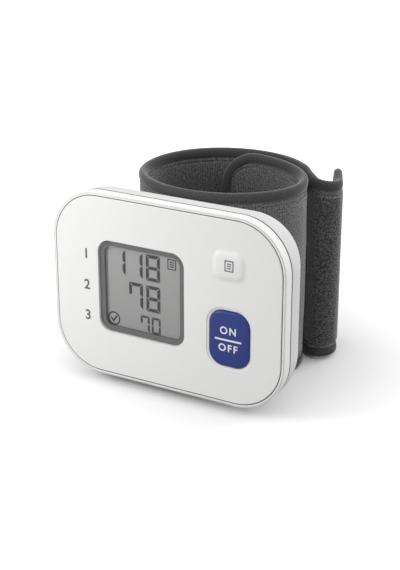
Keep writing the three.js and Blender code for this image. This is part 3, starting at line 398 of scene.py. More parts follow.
def panel_glass(name, base):
    """The display's grey panel, with painted light: lighter towards its top."""
    made = Finish(name, 0.32)
    low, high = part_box("lcd_panel")
    # Painted light: the colour runs from darker at the panel's bottom to lighter at its top
    z = add_node(made.tree, "SeparateXYZ", {"Vector": made.place}).outputs["Z"]
    level = add_node(made.tree, "MapRange", {"Value": z, "From Min": low.z, "From Max": high.z})
    clouds = made.combine("MULTIPLY", made.noise(35), 0.25)
    total = made.combine("ADD", level.outputs["Result"], clouds)
    made.tint(total, scaled(base, 0.9), scaled(base, 1.1), 0, 1)
    made.gloss(made.noise(900), 0.28, 0.36)
    return made.material


def board_lacquer(name):
    """Green lacquer with darker tracks under it."""
    made = Finish(name, 0.4)
    tracks = made.combine("MULTIPLY", made.ribs(mm(1.2), "X"), made.noise(260, 1))
    made.tint(tracks, (0.012, 0.1, 0.045), (0.02, 0.2, 0.08), 0.1, 0.6)
    made.bump(tracks, mm(0.03), 0.4)
    return made.material


def wrapped_cell(name):
    """A cell's plain grey sleeve with paler ends."""
    made = Finish(name, 0.32, Metallic=0.3)
    made.tint(made.ribs(mm(40), "Z"), (0.13, 0.14, 0.15), (0.5, 0.51, 0.53), 0.62, 0.64)
    made.gloss(made.noise(500), 0.26, 0.38)
    return made.material


def cloth(name, roughness, sheen, fuzz):
    """A cloth in the making, along and across the strap, with pale fuzz at its edges."""
    weights = {"Sheen_Weight": sheen, "Sheen_Roughness": fuzz, "Specular_IOR_Level": 0.15}
    return Finish(name, roughness, "UV", Sheen_Tint=WHITE, **weights)


def patterned(made, base, pattern, tint, depth):
    """Colours and raises a cloth; tint gives the darkest and lightest share and their places."""
    dark, light, low, high = tint
    made.tint(pattern, scaled(base, dark), scaled(base, light), low, high)
    made.bump(pattern, depth, 0.7)
    return made.material


def ribbed(made, pitch, share, scale, detail):
    """Texture of fine ribs under loose fibres."""
    ribs = made.combine("MULTIPLY", made.ribs(pitch, "X"), share)
    return made.combine("ADD", ribs, made.noise(scale, detail))


def knitted(name, base):
    """Brushed knit."""
    made = cloth(name, 0.95, sheen=1, fuzz=0.35)
    pattern = ribbed(made, mm(0.9), share=0.08, scale=1700, detail=3)
    return patterned(made, base, pattern, (0.5, 1.7, 0.38, 0.68), mm(0.45))


def bound_tape(name, base):
    """Smooth stretch tape."""
    made = cloth(name, 0.85, sheen=0.7, fuzz=0.35)
    pattern = ribbed(made, mm(0.6), share=0.3, scale=1800, detail=2)
    return patterned(made, base, pattern, (0.75, 1.3, 0.4, 0.9), mm(0.08))


def hooked(name, base):
    """Hook tape: a dense field of small stiff hooks."""
    made = cloth(name, 0.9, sheen=0.9, fuzz=0.4)
    hooks = made.combine("SUBTRACT", 1, made.cells(2400))
    pattern = made.combine("MULTIPLY", hooks, made.noise(1700, 2))
    return patterned(made, base, pattern, (0.4, 2, 0.12, 0.5), mm(0.35))


# Meshes


def quarter(steps=ROUND_STEPS):
    """Even steps of a quarter turn."""
    return [math.pi / 2 * step / steps for step in range(steps + 1)]


def oval(x, y, across, along, sides):
    """Even points round an oval."""
    turns = [2 * math.pi * k / sides for k in range(sides)]
    return [(x + across * math.cos(t), y + along * math.sin(t)) for t in turns]


def at_depth(points, depth):
    """Points of the face, x to the right and z up from its middle, at a depth behind it."""
    return [(x, FACE_Y + depth, MIDDLE_Z + z) for x, z in points]


def loft(rings, around=False):
    """Points and faces of closed rings joined in order; around joins the last to the first."""
    count = len(rings[0])
    points = [point for ring in rings for point in ring]
    faces = []
    for i in range(len(rings) if around else len(rings) - 1):
        here = i * count
        there = (i + 1) % len(rings) * count
        for k in range(count):
            after = (k + 1) % count
            faces.append((here + k, here + after, there + after, there + k))
    if not around:
        faces.append(tuple(range(count)))
        faces.append(tuple(range((len(rings) - 1) * count, len(rings) * count)))
    return points, faces


def joined(lofts):
    """Points and faces of several lofts as one."""
    points, faces = [], []
    for more_points, more_faces in lofts:
        faces += [tuple(k + len(points) for k in face) for face in more_faces]
        points += more_points
    return points, faces


def placed(name, data):
    """A new object in the scene."""
    made = bpy.data.objects.new(name, data)
    bpy.context.scene.collection.objects.link(made)
    return made


def meshed(name, work, finish):
    """A mesh object from a bmesh, its faces turned outwards."""
    bmesh.ops.recalc_face_normals(work, faces=work.faces)
    mesh = bpy.data.meshes.new(name)
    work.to_mesh(mesh)
    work.free()
    if finish:
        mesh.materials.append(finish)
    return placed(name, mesh)


def new_piece(name, points, faces, finish=None):
    """A mesh object from points and faces."""
    work = bmesh.new()
    corners = [work.verts.new(point) for point in points]
    for face in faces:
        work.faces.new([corners[k] for k in face])
    return meshed(name, work, finish)


def tool(rings):
    """A lofted tool for a boolean step."""
    return new_piece("tool", *loft(rings))


def settled_mesh(piece):
    """A mesh of an object as its modifiers or its letters shape it."""
    settled = piece.evaluated_get(bpy.context.evaluated_depsgraph_get())
    return bpy.data.meshes.new_from_object(settled)


def shaped(piece, operation, *tools):
    """Takes one kind of boolean step with each tool, and removes the tools."""
    for cutter in tools:
        step = piece.modifiers.new(operation.title(), "BOOLEAN")
        step.operation = operation
        step.solver = "MANIFOLD"
        step.object = cutter
    mesh = settled_mesh(piece)
    mesh.validate()
    if not mesh.polygons:
        raise RuntimeError(f"{piece.name} lost its shape")
    piece.modifiers.clear()
    piece.data = mesh
    for cutter in tools:
        bpy.data.objects.remove(cutter)
    return piece


def smoothed(piece):
    """Shades a piece smoothly, with true creases and even flats."""
    piece.data.shade_smooth()
    piece.data.set_sharp_from_angle(angle=SHARP)
    weighting = piece.modifiers.new("Even flats", "WEIGHTED_NORMAL")
    weighting.keep_sharp = True
    return piece


def settle(piece, body, slot, *replaced):
    """Lets a piece ride on a body and stand for its nodes."""
    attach(piece, body)
    if replaced:
        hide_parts(*replaced)


class Plate(NamedTuple):
    """An upright rounded plate: its size, corner radius and middle, from the face's middle"""

    width: float
    height: float
    radius: float
    x: float = 0
    z: float = 0

    def points(self, grow):
        """Corner by corner, its outline moved outwards."""
        radius = max(self.radius + grow, LEAST_RADIUS)
        across = (self.width + 2 * grow) / 2 - radius
        up = (self.height + 2 * grow) / 2 - radius
        points = []
        for side, level, start in ((1, -1, -90), (1, 1, 0), (-1, 1, 90), (-1, -1, 180)):
            for step in range(CORNER_STEPS + 1):
                turn = math.radians(start + 90 * step / CORNER_STEPS)
                x = self.x + side * across + radius * math.cos(turn)
                points.append((x, self.z + level * up + radius * math.sin(turn)))
        return points

    def ring(self, grow, depth):
        """Its outline moved outwards, at one depth."""
        return at_depth(self.points(grow), depth)

    def rings(self, *profile):
        """Its outline at each pair of an outward move and a depth."""
        return [self.ring(grow, depth) for grow, depth in profile]

    def prism(self, grow, front, back):
        """Tool with its outline between two depths."""
        return tool(self.rings((grow, front), (grow, back)))

    def rounded(self, inset, front, radius, steps):
        """Rings of a rounded front edge, from the front outwards."""
        return [
            self.ring(-(inset + radius * (1 - math.sin(t))), front + radius * (1 - math.cos(t)))
            for t in quarter(steps)
        ]


def case_plate(housing):
    """The housing's outline."""
    return Plate(BODY_WIDTH, BODY_HEIGHT, housing.corner_radius)


def plate_of(node, radius, rim=0):
    """The plate that a node's box gives, less a rim all round."""
    low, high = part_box(node)
    middle = (low + high) / 2
    width, height = high.x - low.x - 2 * rim, high.z - low.z - 2 * rim
    return Plate(width, height, radius, middle.x, middle.z - MIDDLE_Z)


def button_plates(buttons):
    """The caps of the start and the memory button, without their flanges."""
    start = plate_of("start_button", buttons.start_radius, FLANGE_RIM)
    return start, plate_of("memory_button", buttons.memory_radius, FLANGE_RIM)


def depths(node):
    """How far a node's front and back lie behind the face."""
    low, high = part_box(node)
    return low.y - FACE_Y, high.y - FACE_Y


def drawn(points, front, back):
    """Two rings of the same places, x and z, from front to back along Y."""
    return [[(x, y, z) for x, z in points] for y in (front, back)]


def rods(places, radius, front, back):
    """Round tools along Y, all in one mesh, at places given as x and z in the frame."""
    rounds = [oval(x, z, radius, radius, ROD_SIDES) for x, z in places]
    return new_piece("tool", *joined(loft(drawn(points, front, back)) for points in rounds))


def block(low, high):
    """Box-shaped tool between two corners."""
    corners = [(low[0], low[2]), (high[0], low[2]), (high[0], high[2]), (low[0], high[2])]
    return tool(drawn(corners, low[1], high[1]))


# Housing


def saddle(cuff, room):
    """Oval tool that leaves room for the cuff's ring."""
    size = (cuff.width / 2 + room, cuff.depth / 2 + room)
    points = oval(cuff.middle_x, FACE_Y + cuff.behind, *size, SADDLE_SIDES)
    levels = (MIDDLE_Z - BODY_HEIGHT, MIDDLE_Z + BODY_HEIGHT)
    return tool([[(x, y, z) for x, y in points] for z in levels])


def rear_form(housing, cuff, wall=0, front=REAR_FRONT, edge=0):
    """The rear half of the housing, rounded off like a boat, with the saddle for the cuff."""
    case = case_plate(housing)
    depth = BODY_DEPTH - wall - housing.rear_straight
    rings = case.rounded(wall, front, edge, EDGE_STEPS) if edge else [case.ring(-wall, front)]
    for turn in quarter(REAR_STEPS):
        inset = wall + housing.rear_inset * (1 - math.cos(turn))
        rings.append(case.ring(-inset, housing.rear_straight + depth * math.sin(turn)))
    form = new_piece("rear_form", *loft(rings))
    return shaped(form, "DIFFERENCE", saddle(cuff, cuff.clear + wall))


def rear_shell(name, housing, cuff):
    """The hollow shell that the rear case and the battery cover are cut from."""
    piece = rear_form(housing, cuff, edge=housing.seam_round)
    shaped(piece, "DIFFERENCE", rear_form(housing, cuff, housing.wall, REAR_FRONT - PAST))
    piece.name = name
    piece.data.materials.append(bpy.data.materials["housing_white"])
    return piece


def cover_tool(housing, gap):
    """The block that parts the battery cover from the rear case."""
    front = COVER_LOW.y - SLIDE + gap
    low = (CASE_LOW.x - PAST, front, COVER_LOW.z - SLIDE + gap)
    edge = CASE_LOW.x + housing.cover_edge - gap
    return block(low, (edge, REAR_HIGH.y + PAST, COVER_HIGH.z + SLIDE - gap))


class MONITOR_OT_housing_finish(bpy.types.Operator):
    """Make the white plastic that the cases, the faceplate and one button share"""

    bl_idname = "monitor.housing_finish"
    bl_label = "Housing Finish"

    def execute(self, context):
        white = context.scene.monitor_housing.white
        moulded("housing_white", white, roughness=0.42, spread=0.008)
        return {"FINISHED"}


class MONITOR_OT_front_case(bpy.types.Operator):
    """Make the front case: a rounded rim, and a deck with the openings behind the faceplate"""

    bl_idname = "monitor.front_case"
    bl_label = "Front Case"

    def execute(self, context):
        housing, display = context.scene.monitor_housing, context.scene.monitor_display
        case = case_plate(housing)
        rim, edge, seam = housing.rim_round, housing.seam_round, housing.seam_depth
        front = housing.rim_setback
        bottom = front + housing.groove_depth
        groove = rim + housing.groove_width
        rings = case.rings((-groove, front), (-groove, bottom), (-rim, bottom))
        rings += case.rounded(0, front, rim, RIM_STEPS)
        for turn in quarter(EDGE_STEPS):
            inset = edge * (1 - math.cos(turn))
            rings.append(case.ring(-inset, seam - edge + edge * math.sin(turn)))
        piece = new_piece("front_case_shell", *loft(rings), bpy.data.materials["housing_white"])
        deck_front = FACE_THICK + FIT
        deck_back = deck_front + housing.deck_thick
        span = (deck_front - PAST / 2, deck_back + PAST)
        caps = button_plates(context.scene.monitor_buttons)
        shaped(
            piece,
            "DIFFERENCE",
            case.prism(-housing.rim_width, -PAST, deck_front),
            case.prism(-housing.wall, deck_back, seam + PAST),
            plate_of("lcd_panel", display.view_radius).prism(SLIDE, *span),
            *(cap.prism(FLANGE_RIM + SLIDE, *span) for cap in caps),
        )
        settle(smoothed(piece), "monitor", "housing_white", "front_case")
        return {"FINISHED"}


class MONITOR_OT_faceplate(bpy.types.Operator):
    """Make the faceplate with its window recess and the openings for the buttons"""

    bl_idname = "monitor.faceplate"
    bl_label = "Faceplate"

    def execute(self, context):
        housing, display = context.scene.monitor_housing, context.scene.monitor_display
        buttons = context.scene.monitor_buttons
        case = case_plate(housing)
        inset = housing.rim_width + housing.face_gap
        rings = case.rounded(inset, 0, housing.face_round, RIM_STEPS)
        rings.append(case.ring(-inset, FACE_THICK))
        piece = new_piece("faceplate_panel", *loft(rings), bpy.data.materials["housing_white"])
        window = plate_of("display_window", display.window_radius)
        ledge = depths("display_mask")[1] + FIT / 2
        through = (-PAST, FACE_THICK + PAST)
        start, memory = button_plates(buttons)
        shaped(
            piece,
            "DIFFERENCE",
            window.prism(FIT, -PAST, ledge),
            window.prism(-display.mask_width / 2, *through),
            self.dished(start, buttons),
            memory.prism(buttons.soft_gap, *through),
        )
        settle(smoothed(piece), "monitor", "housing_white", "faceplate")
        return {"FINISHED"}

    def dished(self, cap, buttons):
        """Tool for an opening whose edge runs down to the button."""
        rings = [cap.ring(buttons.gap + buttons.dish, -PAST)]
        for turn in quarter():
            grow = buttons.gap + buttons.dish * math.cos(turn)
            rings.append(cap.ring(grow, buttons.dish_depth * math.sin(turn)))
        rings.append(cap.ring(buttons.gap, FACE_THICK + PAST))
        return tool(rings)


class MONITOR_OT_seals(bpy.types.Operator):
    """Lay thin dark cords in the joints of the housing, painted shadow that darkens the gaps
    between its parts
    """

    bl_idname = "monitor.seals"
    bl_label = "Painted Shadow Cords"

    slack = mm(0.02)
    depth = mm(0.6)
    # Colour of the cords: painted shadow for the shade in the joints
    dark = shade(38, 38, 39)

    def execute(self, context):
        housing = context.scene.monitor_housing
        finish = moulded("painted_shadow_dark", self.dark, roughness=0.85)
        rim = housing.rim_width + self.slack
        face = housing.rim_width + housing.face_gap - self.slack
        front = housing.rim_setback + housing.face_drop
        back = front + self.depth
        outer, inner = housing.seal_drop, housing.seal_drop + self.depth
        low, high = housing.seam_depth + self.slack, REAR_FRONT - self.slack
        # Painted shadow: one dark cord in the gap round the faceplate, one in the seam between the
        # cases
        sections = {
            "face_shadow_cord": ((-rim, front), (-face, front), (-face, back), (-rim, back)),
            "seam_shadow_cord": ((-outer, low), (-outer, high), (-inner, high), (-inner, low)),
        }
        for name, section in sections.items():
            rings = case_plate(housing).rings(*section)
            piece = new_piece(name, *loft(rings, around=True), finish)
            # The cords are painted shadow, not rubber, though they share that slot name
            settle(smoothed(piece), "monitor", "rubber_black")
        return {"FINISHED"}


class MONITOR_OT_rear_case(bpy.types.Operator):
    """Make the rear case with its saddle, screw posts and battery opening"""

    bl_idname = "monitor.rear_case"
    bl_label = "Rear Case"

    def execute(self, context):
        housing, cuff = context.scene.monitor_housing, context.scene.monitor_cuff
        piece = rear_shell("rear_case_shell", housing, cuff)
        boxes = [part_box(f"case_screw_{number}") for number in (1, 2, 3, 4)]
        places = [((low.x + high.x) / 2, (low.z + high.z) / 2) for low, high in boxes]
        low, high = boxes[0]
        seat = high.y - housing.screw_head - FIT / 2
        head = (high.x - low.x) / 2 + FIT
        posts = rods(places, housing.post_radius, FACE_Y + housing.post_front, REAR_HIGH.y)
        shaped(piece, "UNION", shaped(posts, "INTERSECT", rear_form(housing, cuff)))
        recesses = rods(places, head, seat, REAR_HIGH.y + PAST)
        shaped(piece, "DIFFERENCE", recesses, cover_tool(housing, 0))
        settle(smoothed(piece), "monitor", "housing_white", "rear_case")
        return {"FINISHED"}


class MONITOR_OT_battery_cover(bpy.types.Operator):
    """Make the battery cover, the left end of the rear shell, with its latch"""

    bl_idname = "monitor.battery_cover"
    bl_label = "Battery Cover"

    latch_width = mm(12)
    latch_thick = mm(0.9)
    latch_drop = mm(1.1)
    latch_root = mm(1.5)

    def execute(self, context):
        housing, cuff = context.scene.monitor_housing, context.scene.monitor_cuff
        piece = rear_shell("battery_cover_shell", housing, cuff)
        half = self.latch_width / 2
        edge = CASE_LOW.x + housing.cover_edge - SLIDE
        back = REAR_HIGH.y - housing.wall - self.latch_drop
        low = (edge - self.latch_root, back - self.latch_thick, MIDDLE_Z - half)
        tongue = block(low, (COVER_HIGH.x, back, MIDDLE_Z + half))
        root = block(low, (edge, REAR_HIGH.y, MIDDLE_Z + half))
        shaped(root, "INTERSECT", rear_form(housing, cuff))
        shaped(piece, "INTERSECT", cover_tool(housing, SLIDE))
        shaped(piece, "UNION", tongue, root)
        settle(smoothed(piece), "battery_cover", "housing_white", "battery_cover")
        return {"FINISHED"}


# Marks

# Half the thickness of ink, and the lines of a page symbol
INK = mm(0.02)
STROKE_STEP = mm(0.5)
PAGE_LINE = mm(0.36)
PAGE_ROWS = (0.28, 0.5, 0.72)
PAGE_MARGIN = 2.2 * PAGE_LINE

# Letters: a capital's share of the type's size, added weight, spacing, and what is welded
CAPITAL = 0.73
WEIGHT = 0.03
SPACING = 1.25
WELD = mm(0.0005)

SEGMENTS = {"0": "abcdef", "1": "bc", "7": "abcf", "8": "abcdefg"}
SEGMENT_GAP = 0.13


def raised(name, shapes, surface, finish):
    """Flat shapes of the face, each a list of points, laid on a surface given as a depth."""

    def layer(shape, out):
        return [(x, FACE_Y + surface(x, z) + out, MIDDLE_Z + z) for x, z in shape]

    lofts = (loft([layer(shape, -INK), layer(shape, INK)]) for shape in shapes)
    return new_piece(name, *joined(lofts), finish)


def strokes(points, width):
    """Four-sided strokes along a line, in short steps that can follow a curved surface."""
    shapes = []
    for first, last in zip(points, points[1:]):
        start, end = Vector(first), Vector(last)
        along = (end - start).normalized() * width / 2
        across = Vector((-along.y, along.x))
        start, end = start - along, end + along
        count = max(1, math.ceil((end - start).length / STROKE_STEP))
        marks = [start.lerp(end, k / count) for k in range(count + 1)]
        for a, b in zip(marks, marks[1:]):
            shapes.append([tuple(p) for p in (a + across, a - across, b - across, b + across)])
    return shapes


def page_icon(x, z, width, height):
    """A small page: its outline and three lines of writing."""
    left, right = x - width / 2, x + width / 2
    low, high = z - height / 2, z + height / 2
    border = [(left, low), (right, low), (right, high), (left, high), (left, low)]
    shapes = strokes(border, PAGE_LINE)
    for share in PAGE_ROWS:
        level = low + height * share
        shapes += strokes([(left + PAGE_MARGIN, level), (right - PAGE_MARGIN, level)], PAGE_LINE)
    return shapes


def digit(figure, left, low, width, height, line):
    """The lit segments of a seven-segment figure, mitred where they meet."""
    gap = line * SEGMENT_GAP
    middle, half = height / 2, line / 2
    near, far = line + gap, width - line - gap
    flat = [(gap, height), (width - gap, height), (far, height - line), (near, height - line)]
    side = [
        (0, height - gap),
        (line, height - line - gap),
        (line, middle + half + gap),
        (half, middle + gap),
        (0, middle + gap),
    ]
    bar = [(half + gap, middle), (near, middle + half), (far, middle + half)]
    bar += [(width - half - gap, middle), (far, middle - half), (near, middle - half)]
    across = [(width - x, z) for x, z in side]
    segments = {"a": flat, "b": across, "f": side, "g": bar}
    for upper, lower in ("ad", "bc", "fe"):
        segments[lower] = [(x, height - z) for x, z in segments[upper]]
    return [[(left + x, low + z) for x, z in segments[name]] for name in SEGMENTS[figure]]


def lettering(name, words, surface, finish):
    """Words, each with its middle and height, as raised letters on a surface given as a depth."""
    work = bmesh.new()
    for text, x, z, height in words:
        curve = bpy.data.curves.new("letters", "FONT")
        curve.body = text
        curve.size = height / CAPITAL
        curve.offset = height * WEIGHT
        curve.space_character = SPACING
        curve.align_x = curve.align_y = "CENTER"
        curve.extrude = INK
        letters = placed("letters", curve)
        mesh = settled_mesh(letters)
        for vertex in mesh.vertices:
            across, up, out = vertex.co
            across, up = x + across, z + up
            vertex.co = (across, FACE_Y + surface(across, up) - out, MIDDLE_Z + up)
        work.from_mesh(mesh)
        bpy.data.objects.remove(letters)
        bpy.data.meshes.remove(mesh)
    bmesh.ops.remove_doubles(work, verts=work.verts, dist=WELD)
    return meshed(name, work, finish)


class MONITOR_OT_legends(bpy.types.Operator):
    """Print a plain number beside each row of the display"""

    bl_idname = "monitor.legends"
    bl_label = "Row Numbers"

    middle_x = mm(-29.2)
    levels = (mm(10), mm(-0.6), mm(-11.2))
    height = mm(3.4)

    def execute(self, context):
        ink = printed("print_grey", context.scene.monitor_housing.ink)
        rows = enumerate(self.levels, start=1)
        words = [(str(row), self.middle_x, z, self.height) for row, z in rows]
        settle(lettering("row_numbers", words, lambda x, z: 0, ink), "monitor", "mask_grey")
        return {"FINISHED"}


# Display


class MONITOR_OT_display(bpy.types.Operator):
    """Make the display's window, frame, panel, digits and symbols"""

    bl_idname = "monitor.display"
    bl_label = "Display"

    pane_round = mm(0.12)

    # Middle and size of the page, middle and radius of the ring, and the tick in shares of it
    page = (mm(1.7), mm(11.3), mm(2.8), mm(3.2))
    ring = (mm(-20.25), mm(-11.1), mm(2.1))
    ring_line = mm(0.42)
    ring_sides = 36
    tick = ((-0.5, 0.02), (-0.12, -0.4), (0.5, 0.42))
    tick_weight = 1.3

    def execute(self, context):
        display = context.scene.monitor_display
        self.window(display)
        self.mask(display)
        self.panel(display)
        return {"FINISHED"}

    def window(self, display):
        """The clear pane with softly rounded edges."""
        pane = plate_of("display_window", display.window_radius)
        front, back = depths("display_window")
        rings = pane.rounded(0, front, self.pane_round, EDGE_STEPS) + [pane.ring(0, back)]
        piece = new_piece("display_pane", *loft(rings), clear_pane("window_clear"))
        settle(smoothed(piece), "monitor", "window_clear", "display_window")

    def mask(self, display):
        """The dark frame behind the pane."""
        front, back = depths("display_mask")
        inner = -display.mask_width
        wall = inner + display.mask_wall
        deep = depths("lcd_panel")[0] - FIT / 4
        profile = [(0, front), (inner, front), (inner, deep), (wall, deep), (wall, back), (0, back)]
        rings = plate_of("display_mask", display.window_radius).rings(*profile)
        finish = moulded("mask_grey", display.frame_grey, roughness=0.45)
        piece = new_piece("display_frame", *loft(rings, around=True), finish)
        settle(smoothed(piece), "monitor", "mask_grey", "display_mask")

    def panel(self, display):
        """The panel with its three rows of digits and two symbols."""
        front, back = depths("lcd_panel")
        rings = plate_of("lcd_panel", display.view_radius).rings((0, front), (0, back))
        # The panel's finish carries painted light, lighter towards its top
        glass = panel_glass("lcd_glass", display.panel_grey)
        piece = new_piece("display_panel", *loft(rings), glass)
        settle(smoothed(piece), "monitor", "lcd_glass", "lcd_panel")
        dark = printed("segment_grey", display.segment_grey)
        shapes = self.rows(display) + self.symbols()
        settle(raised("display_digits", shapes, lambda x, z: front, dark), "monitor", "lcd_glass")

    def rows(self, display):
        """Three right-aligned rows of seven-segment figures."""
        rows = (
            ("118", display.upper_row, 1),
            ("78", display.middle_row, 1),
            ("70", display.lower_row, display.small_share),
        )
        shapes = []
        for figures, low, size in rows:
            width, height = display.digit_width * size, display.digit_height * size
            for place, figure in enumerate(reversed(figures)):
                left = display.digits_right - place * display.digit_pitch * size - width
                shapes += digit(figure, left, low, width, height, display.digit_stroke * size)
        return shapes

    def symbols(self):
        """A small page, and a tick in a ring."""
        x, z, radius = self.ring
        ring = oval(x, z, radius, radius, self.ring_sides)
        tick = [(x + a * radius, z + b * radius) for a, b in self.tick]
        marks = strokes([*ring, ring[0]], self.ring_line)
        return page_icon(*self.page) + marks + strokes(tick, self.tick_weight * self.ring_line)


# Buttons


def eased(share):
    """Runs from 0 to 1 with a soft start and a soft end."""
    held = np.clip(share, 0, 1)
    return held * held * (3 - 2 * held)


class MONITOR_OT_buttons(bpy.types.Operator):
    """Make the two push buttons and their marks"""

    bl_idname = "monitor.buttons"
    bl_label = "Push Buttons"

    skirt_depth = mm(1)
    flange_thick = mm(0.6)
    stem_radius = mm(1.6)
    crown_steps = 8

    # Levels of the start button's marks, from the face's middle, and half the bar's length
    bar_level = mm(-8.62)
    on_rise = mm(2.95)
    off_drop = mm(2.75)
    bar_half = mm(4.3)

    # The memory button's page: its place from the button's middle, and its size
    page_place = (mm(0.4), mm(0.25))
    page_size = (mm(2.7), mm(3.2))

    def execute(self, context):
        buttons = context.scene.monitor_buttons
        blue = moulded("button_blue", buttons.blue, roughness=0.3, spread=0.04, shine=0.32)
        white = bpy.data.materials["housing_white"]
        start, memory = button_plates(buttons)
        start_cap = ("start_button", start, buttons.start_edge, buttons.crown)
        memory_cap = ("memory_button", memory, buttons.memory_edge, buttons.crown)
        self.cap(*start_cap, blue, "button_blue")
        self.cap(*memory_cap, white, "housing_white", soft=True)
        self.start_marks(start.x, self.crowned(*start_cap), buttons)
        self.memory_mark(memory, self.crowned(*memory_cap))
        return {"FINISHED"}

    def cap(self, node, plate, edge, crown, finish, slot, soft=False):
        """A cap with a rounded or softly rising edge and a crowned top, on its flange and stem."""
        rim = depths(node)[0] + crown
        skirt = rim + min(edge, self.skirt_depth)
        flange = FACE_THICK + FIT
        back = flange + self.flange_thick
        rings = plate.rings((FLANGE_RIM, back), (FLANGE_RIM, flange), (0, flange))
        for turn in quarter():
            inset = edge * (1 - math.cos(turn))
            depth = skirt - (skirt - rim) * math.sin(turn)
            if soft:
                inset = edge * turn / (math.pi / 2)
                depth = rim * float(eased(inset / edge))
            rings.append(plate.ring(-inset, depth))
        last = plate.points(-edge)
        for step in range(1, self.crown_steps):
            share = 1 - step / self.crown_steps
            points = [
                (plate.x + (x - plate.x) * share, plate.z + (z - plate.z) * share) for x, z in last
            ]
            rings.append(at_depth(points, rim - crown * (1 - share**2)))
        piece = new_piece(f"{node}_cap", *loft(rings), finish)
        place = (plate.x, MIDDLE_Z + plate.z)
        stem = rods([place], self.stem_radius, FACE_Y + flange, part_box(node)[1].y)
        settle(smoothed(shaped(piece, "UNION", stem)), node, slot, node)

    def crowned(self, node, plate, edge, crown):
        """Depth of a cap's top at a place on the face."""
        top = depths(node)[0]
        half_width, half_height = plate.width / 2 - edge, plate.height / 2 - edge

        def depth(x, z):
            share = max(abs(x - plate.x) / half_width, abs(z - plate.z) / half_height)
            return top + crown * min(1, share) ** 2

        return depth

    def start_marks(self, x, surface, buttons):
        """ON, a bar and OFF."""
        finish = printed("mark_white", buttons.mark)
        level, high = self.bar_level, buttons.letter_height
        words = [("ON", x, level + self.on_rise, high), ("OFF", x, level - self.off_drop, high)]
        bar = strokes([(x - self.bar_half, level), (x + self.bar_half, level)], buttons.bar_width)
        letters = lettering("start_letters", words, surface, finish)
        for piece in (letters, raised("start_bar", bar, surface, finish)):
            settle(piece, "start_button", "button_blue")

    def memory_mark(self, plate, surface):
        """A small printed page."""
        right, up = self.page_place
        shapes = page_icon(plate.x + right, plate.z + up, *self.page_size)
        piece = raised("memory_page", shapes, surface, bpy.data.materials["print_grey"])
        settle(piece, "memory_button", "mask_grey")


# Cuff

# Fineness of the strap's line and of its pieces
RING_POINTS = 2400
FOLD_POINTS = 120
STRAIGHT_POINTS = 40
STRAP_STEP = mm(0.8)
LEAST_STEP = mm(0.05)
END_STEPS = 16
CREASE = math.radians(50)

# Unevenness of the cloth: its length, its height in the fabric, and its share of the tape's height
WAVE_LENGTH = mm(9)
FABRIC_WAVES = mm(0.14)
TAPE_WAVES = 0.05

# Widths of the fabric's rise beside the binding and of the dip along its stitching
EDGE_RISE = mm(0.9)
STITCH_WIDTH = mm(0.3)

# Rows across the fabric: one under the binding as a share of its tuck, then from that tuck, from
# the stitching, and a step further on those of the middle; and the number across a thin sheet
TUCK_ROW = 0.6
EDGE_ROWS = [mm(0.15) * k for k in range(7)]
STITCH_ROWS = [mm(0.12) * k for k in range(-4, 5)] + [mm(v) for v in (0.9, 1.5, 2.5, 4)]
MIDDLE_STEP = mm(2)
MIDDLE_ROWS = 10
SHEET_ROWS = 5

# The tape's section in millimetres, back from its hem: above the pinched fabric, and below its face
TAPE_HEM = ((0, -0.2), (0.03, 0.4))
TAPE_SHOULDER = ((0.18, 0.28), (0.6, 0.08), (1.2, 0))


def running(points):
    """Length run along a line up to each of its points."""
    return np.concatenate([[0], np.cumsum(np.hypot(*np.diff(points, axis=0).T))])


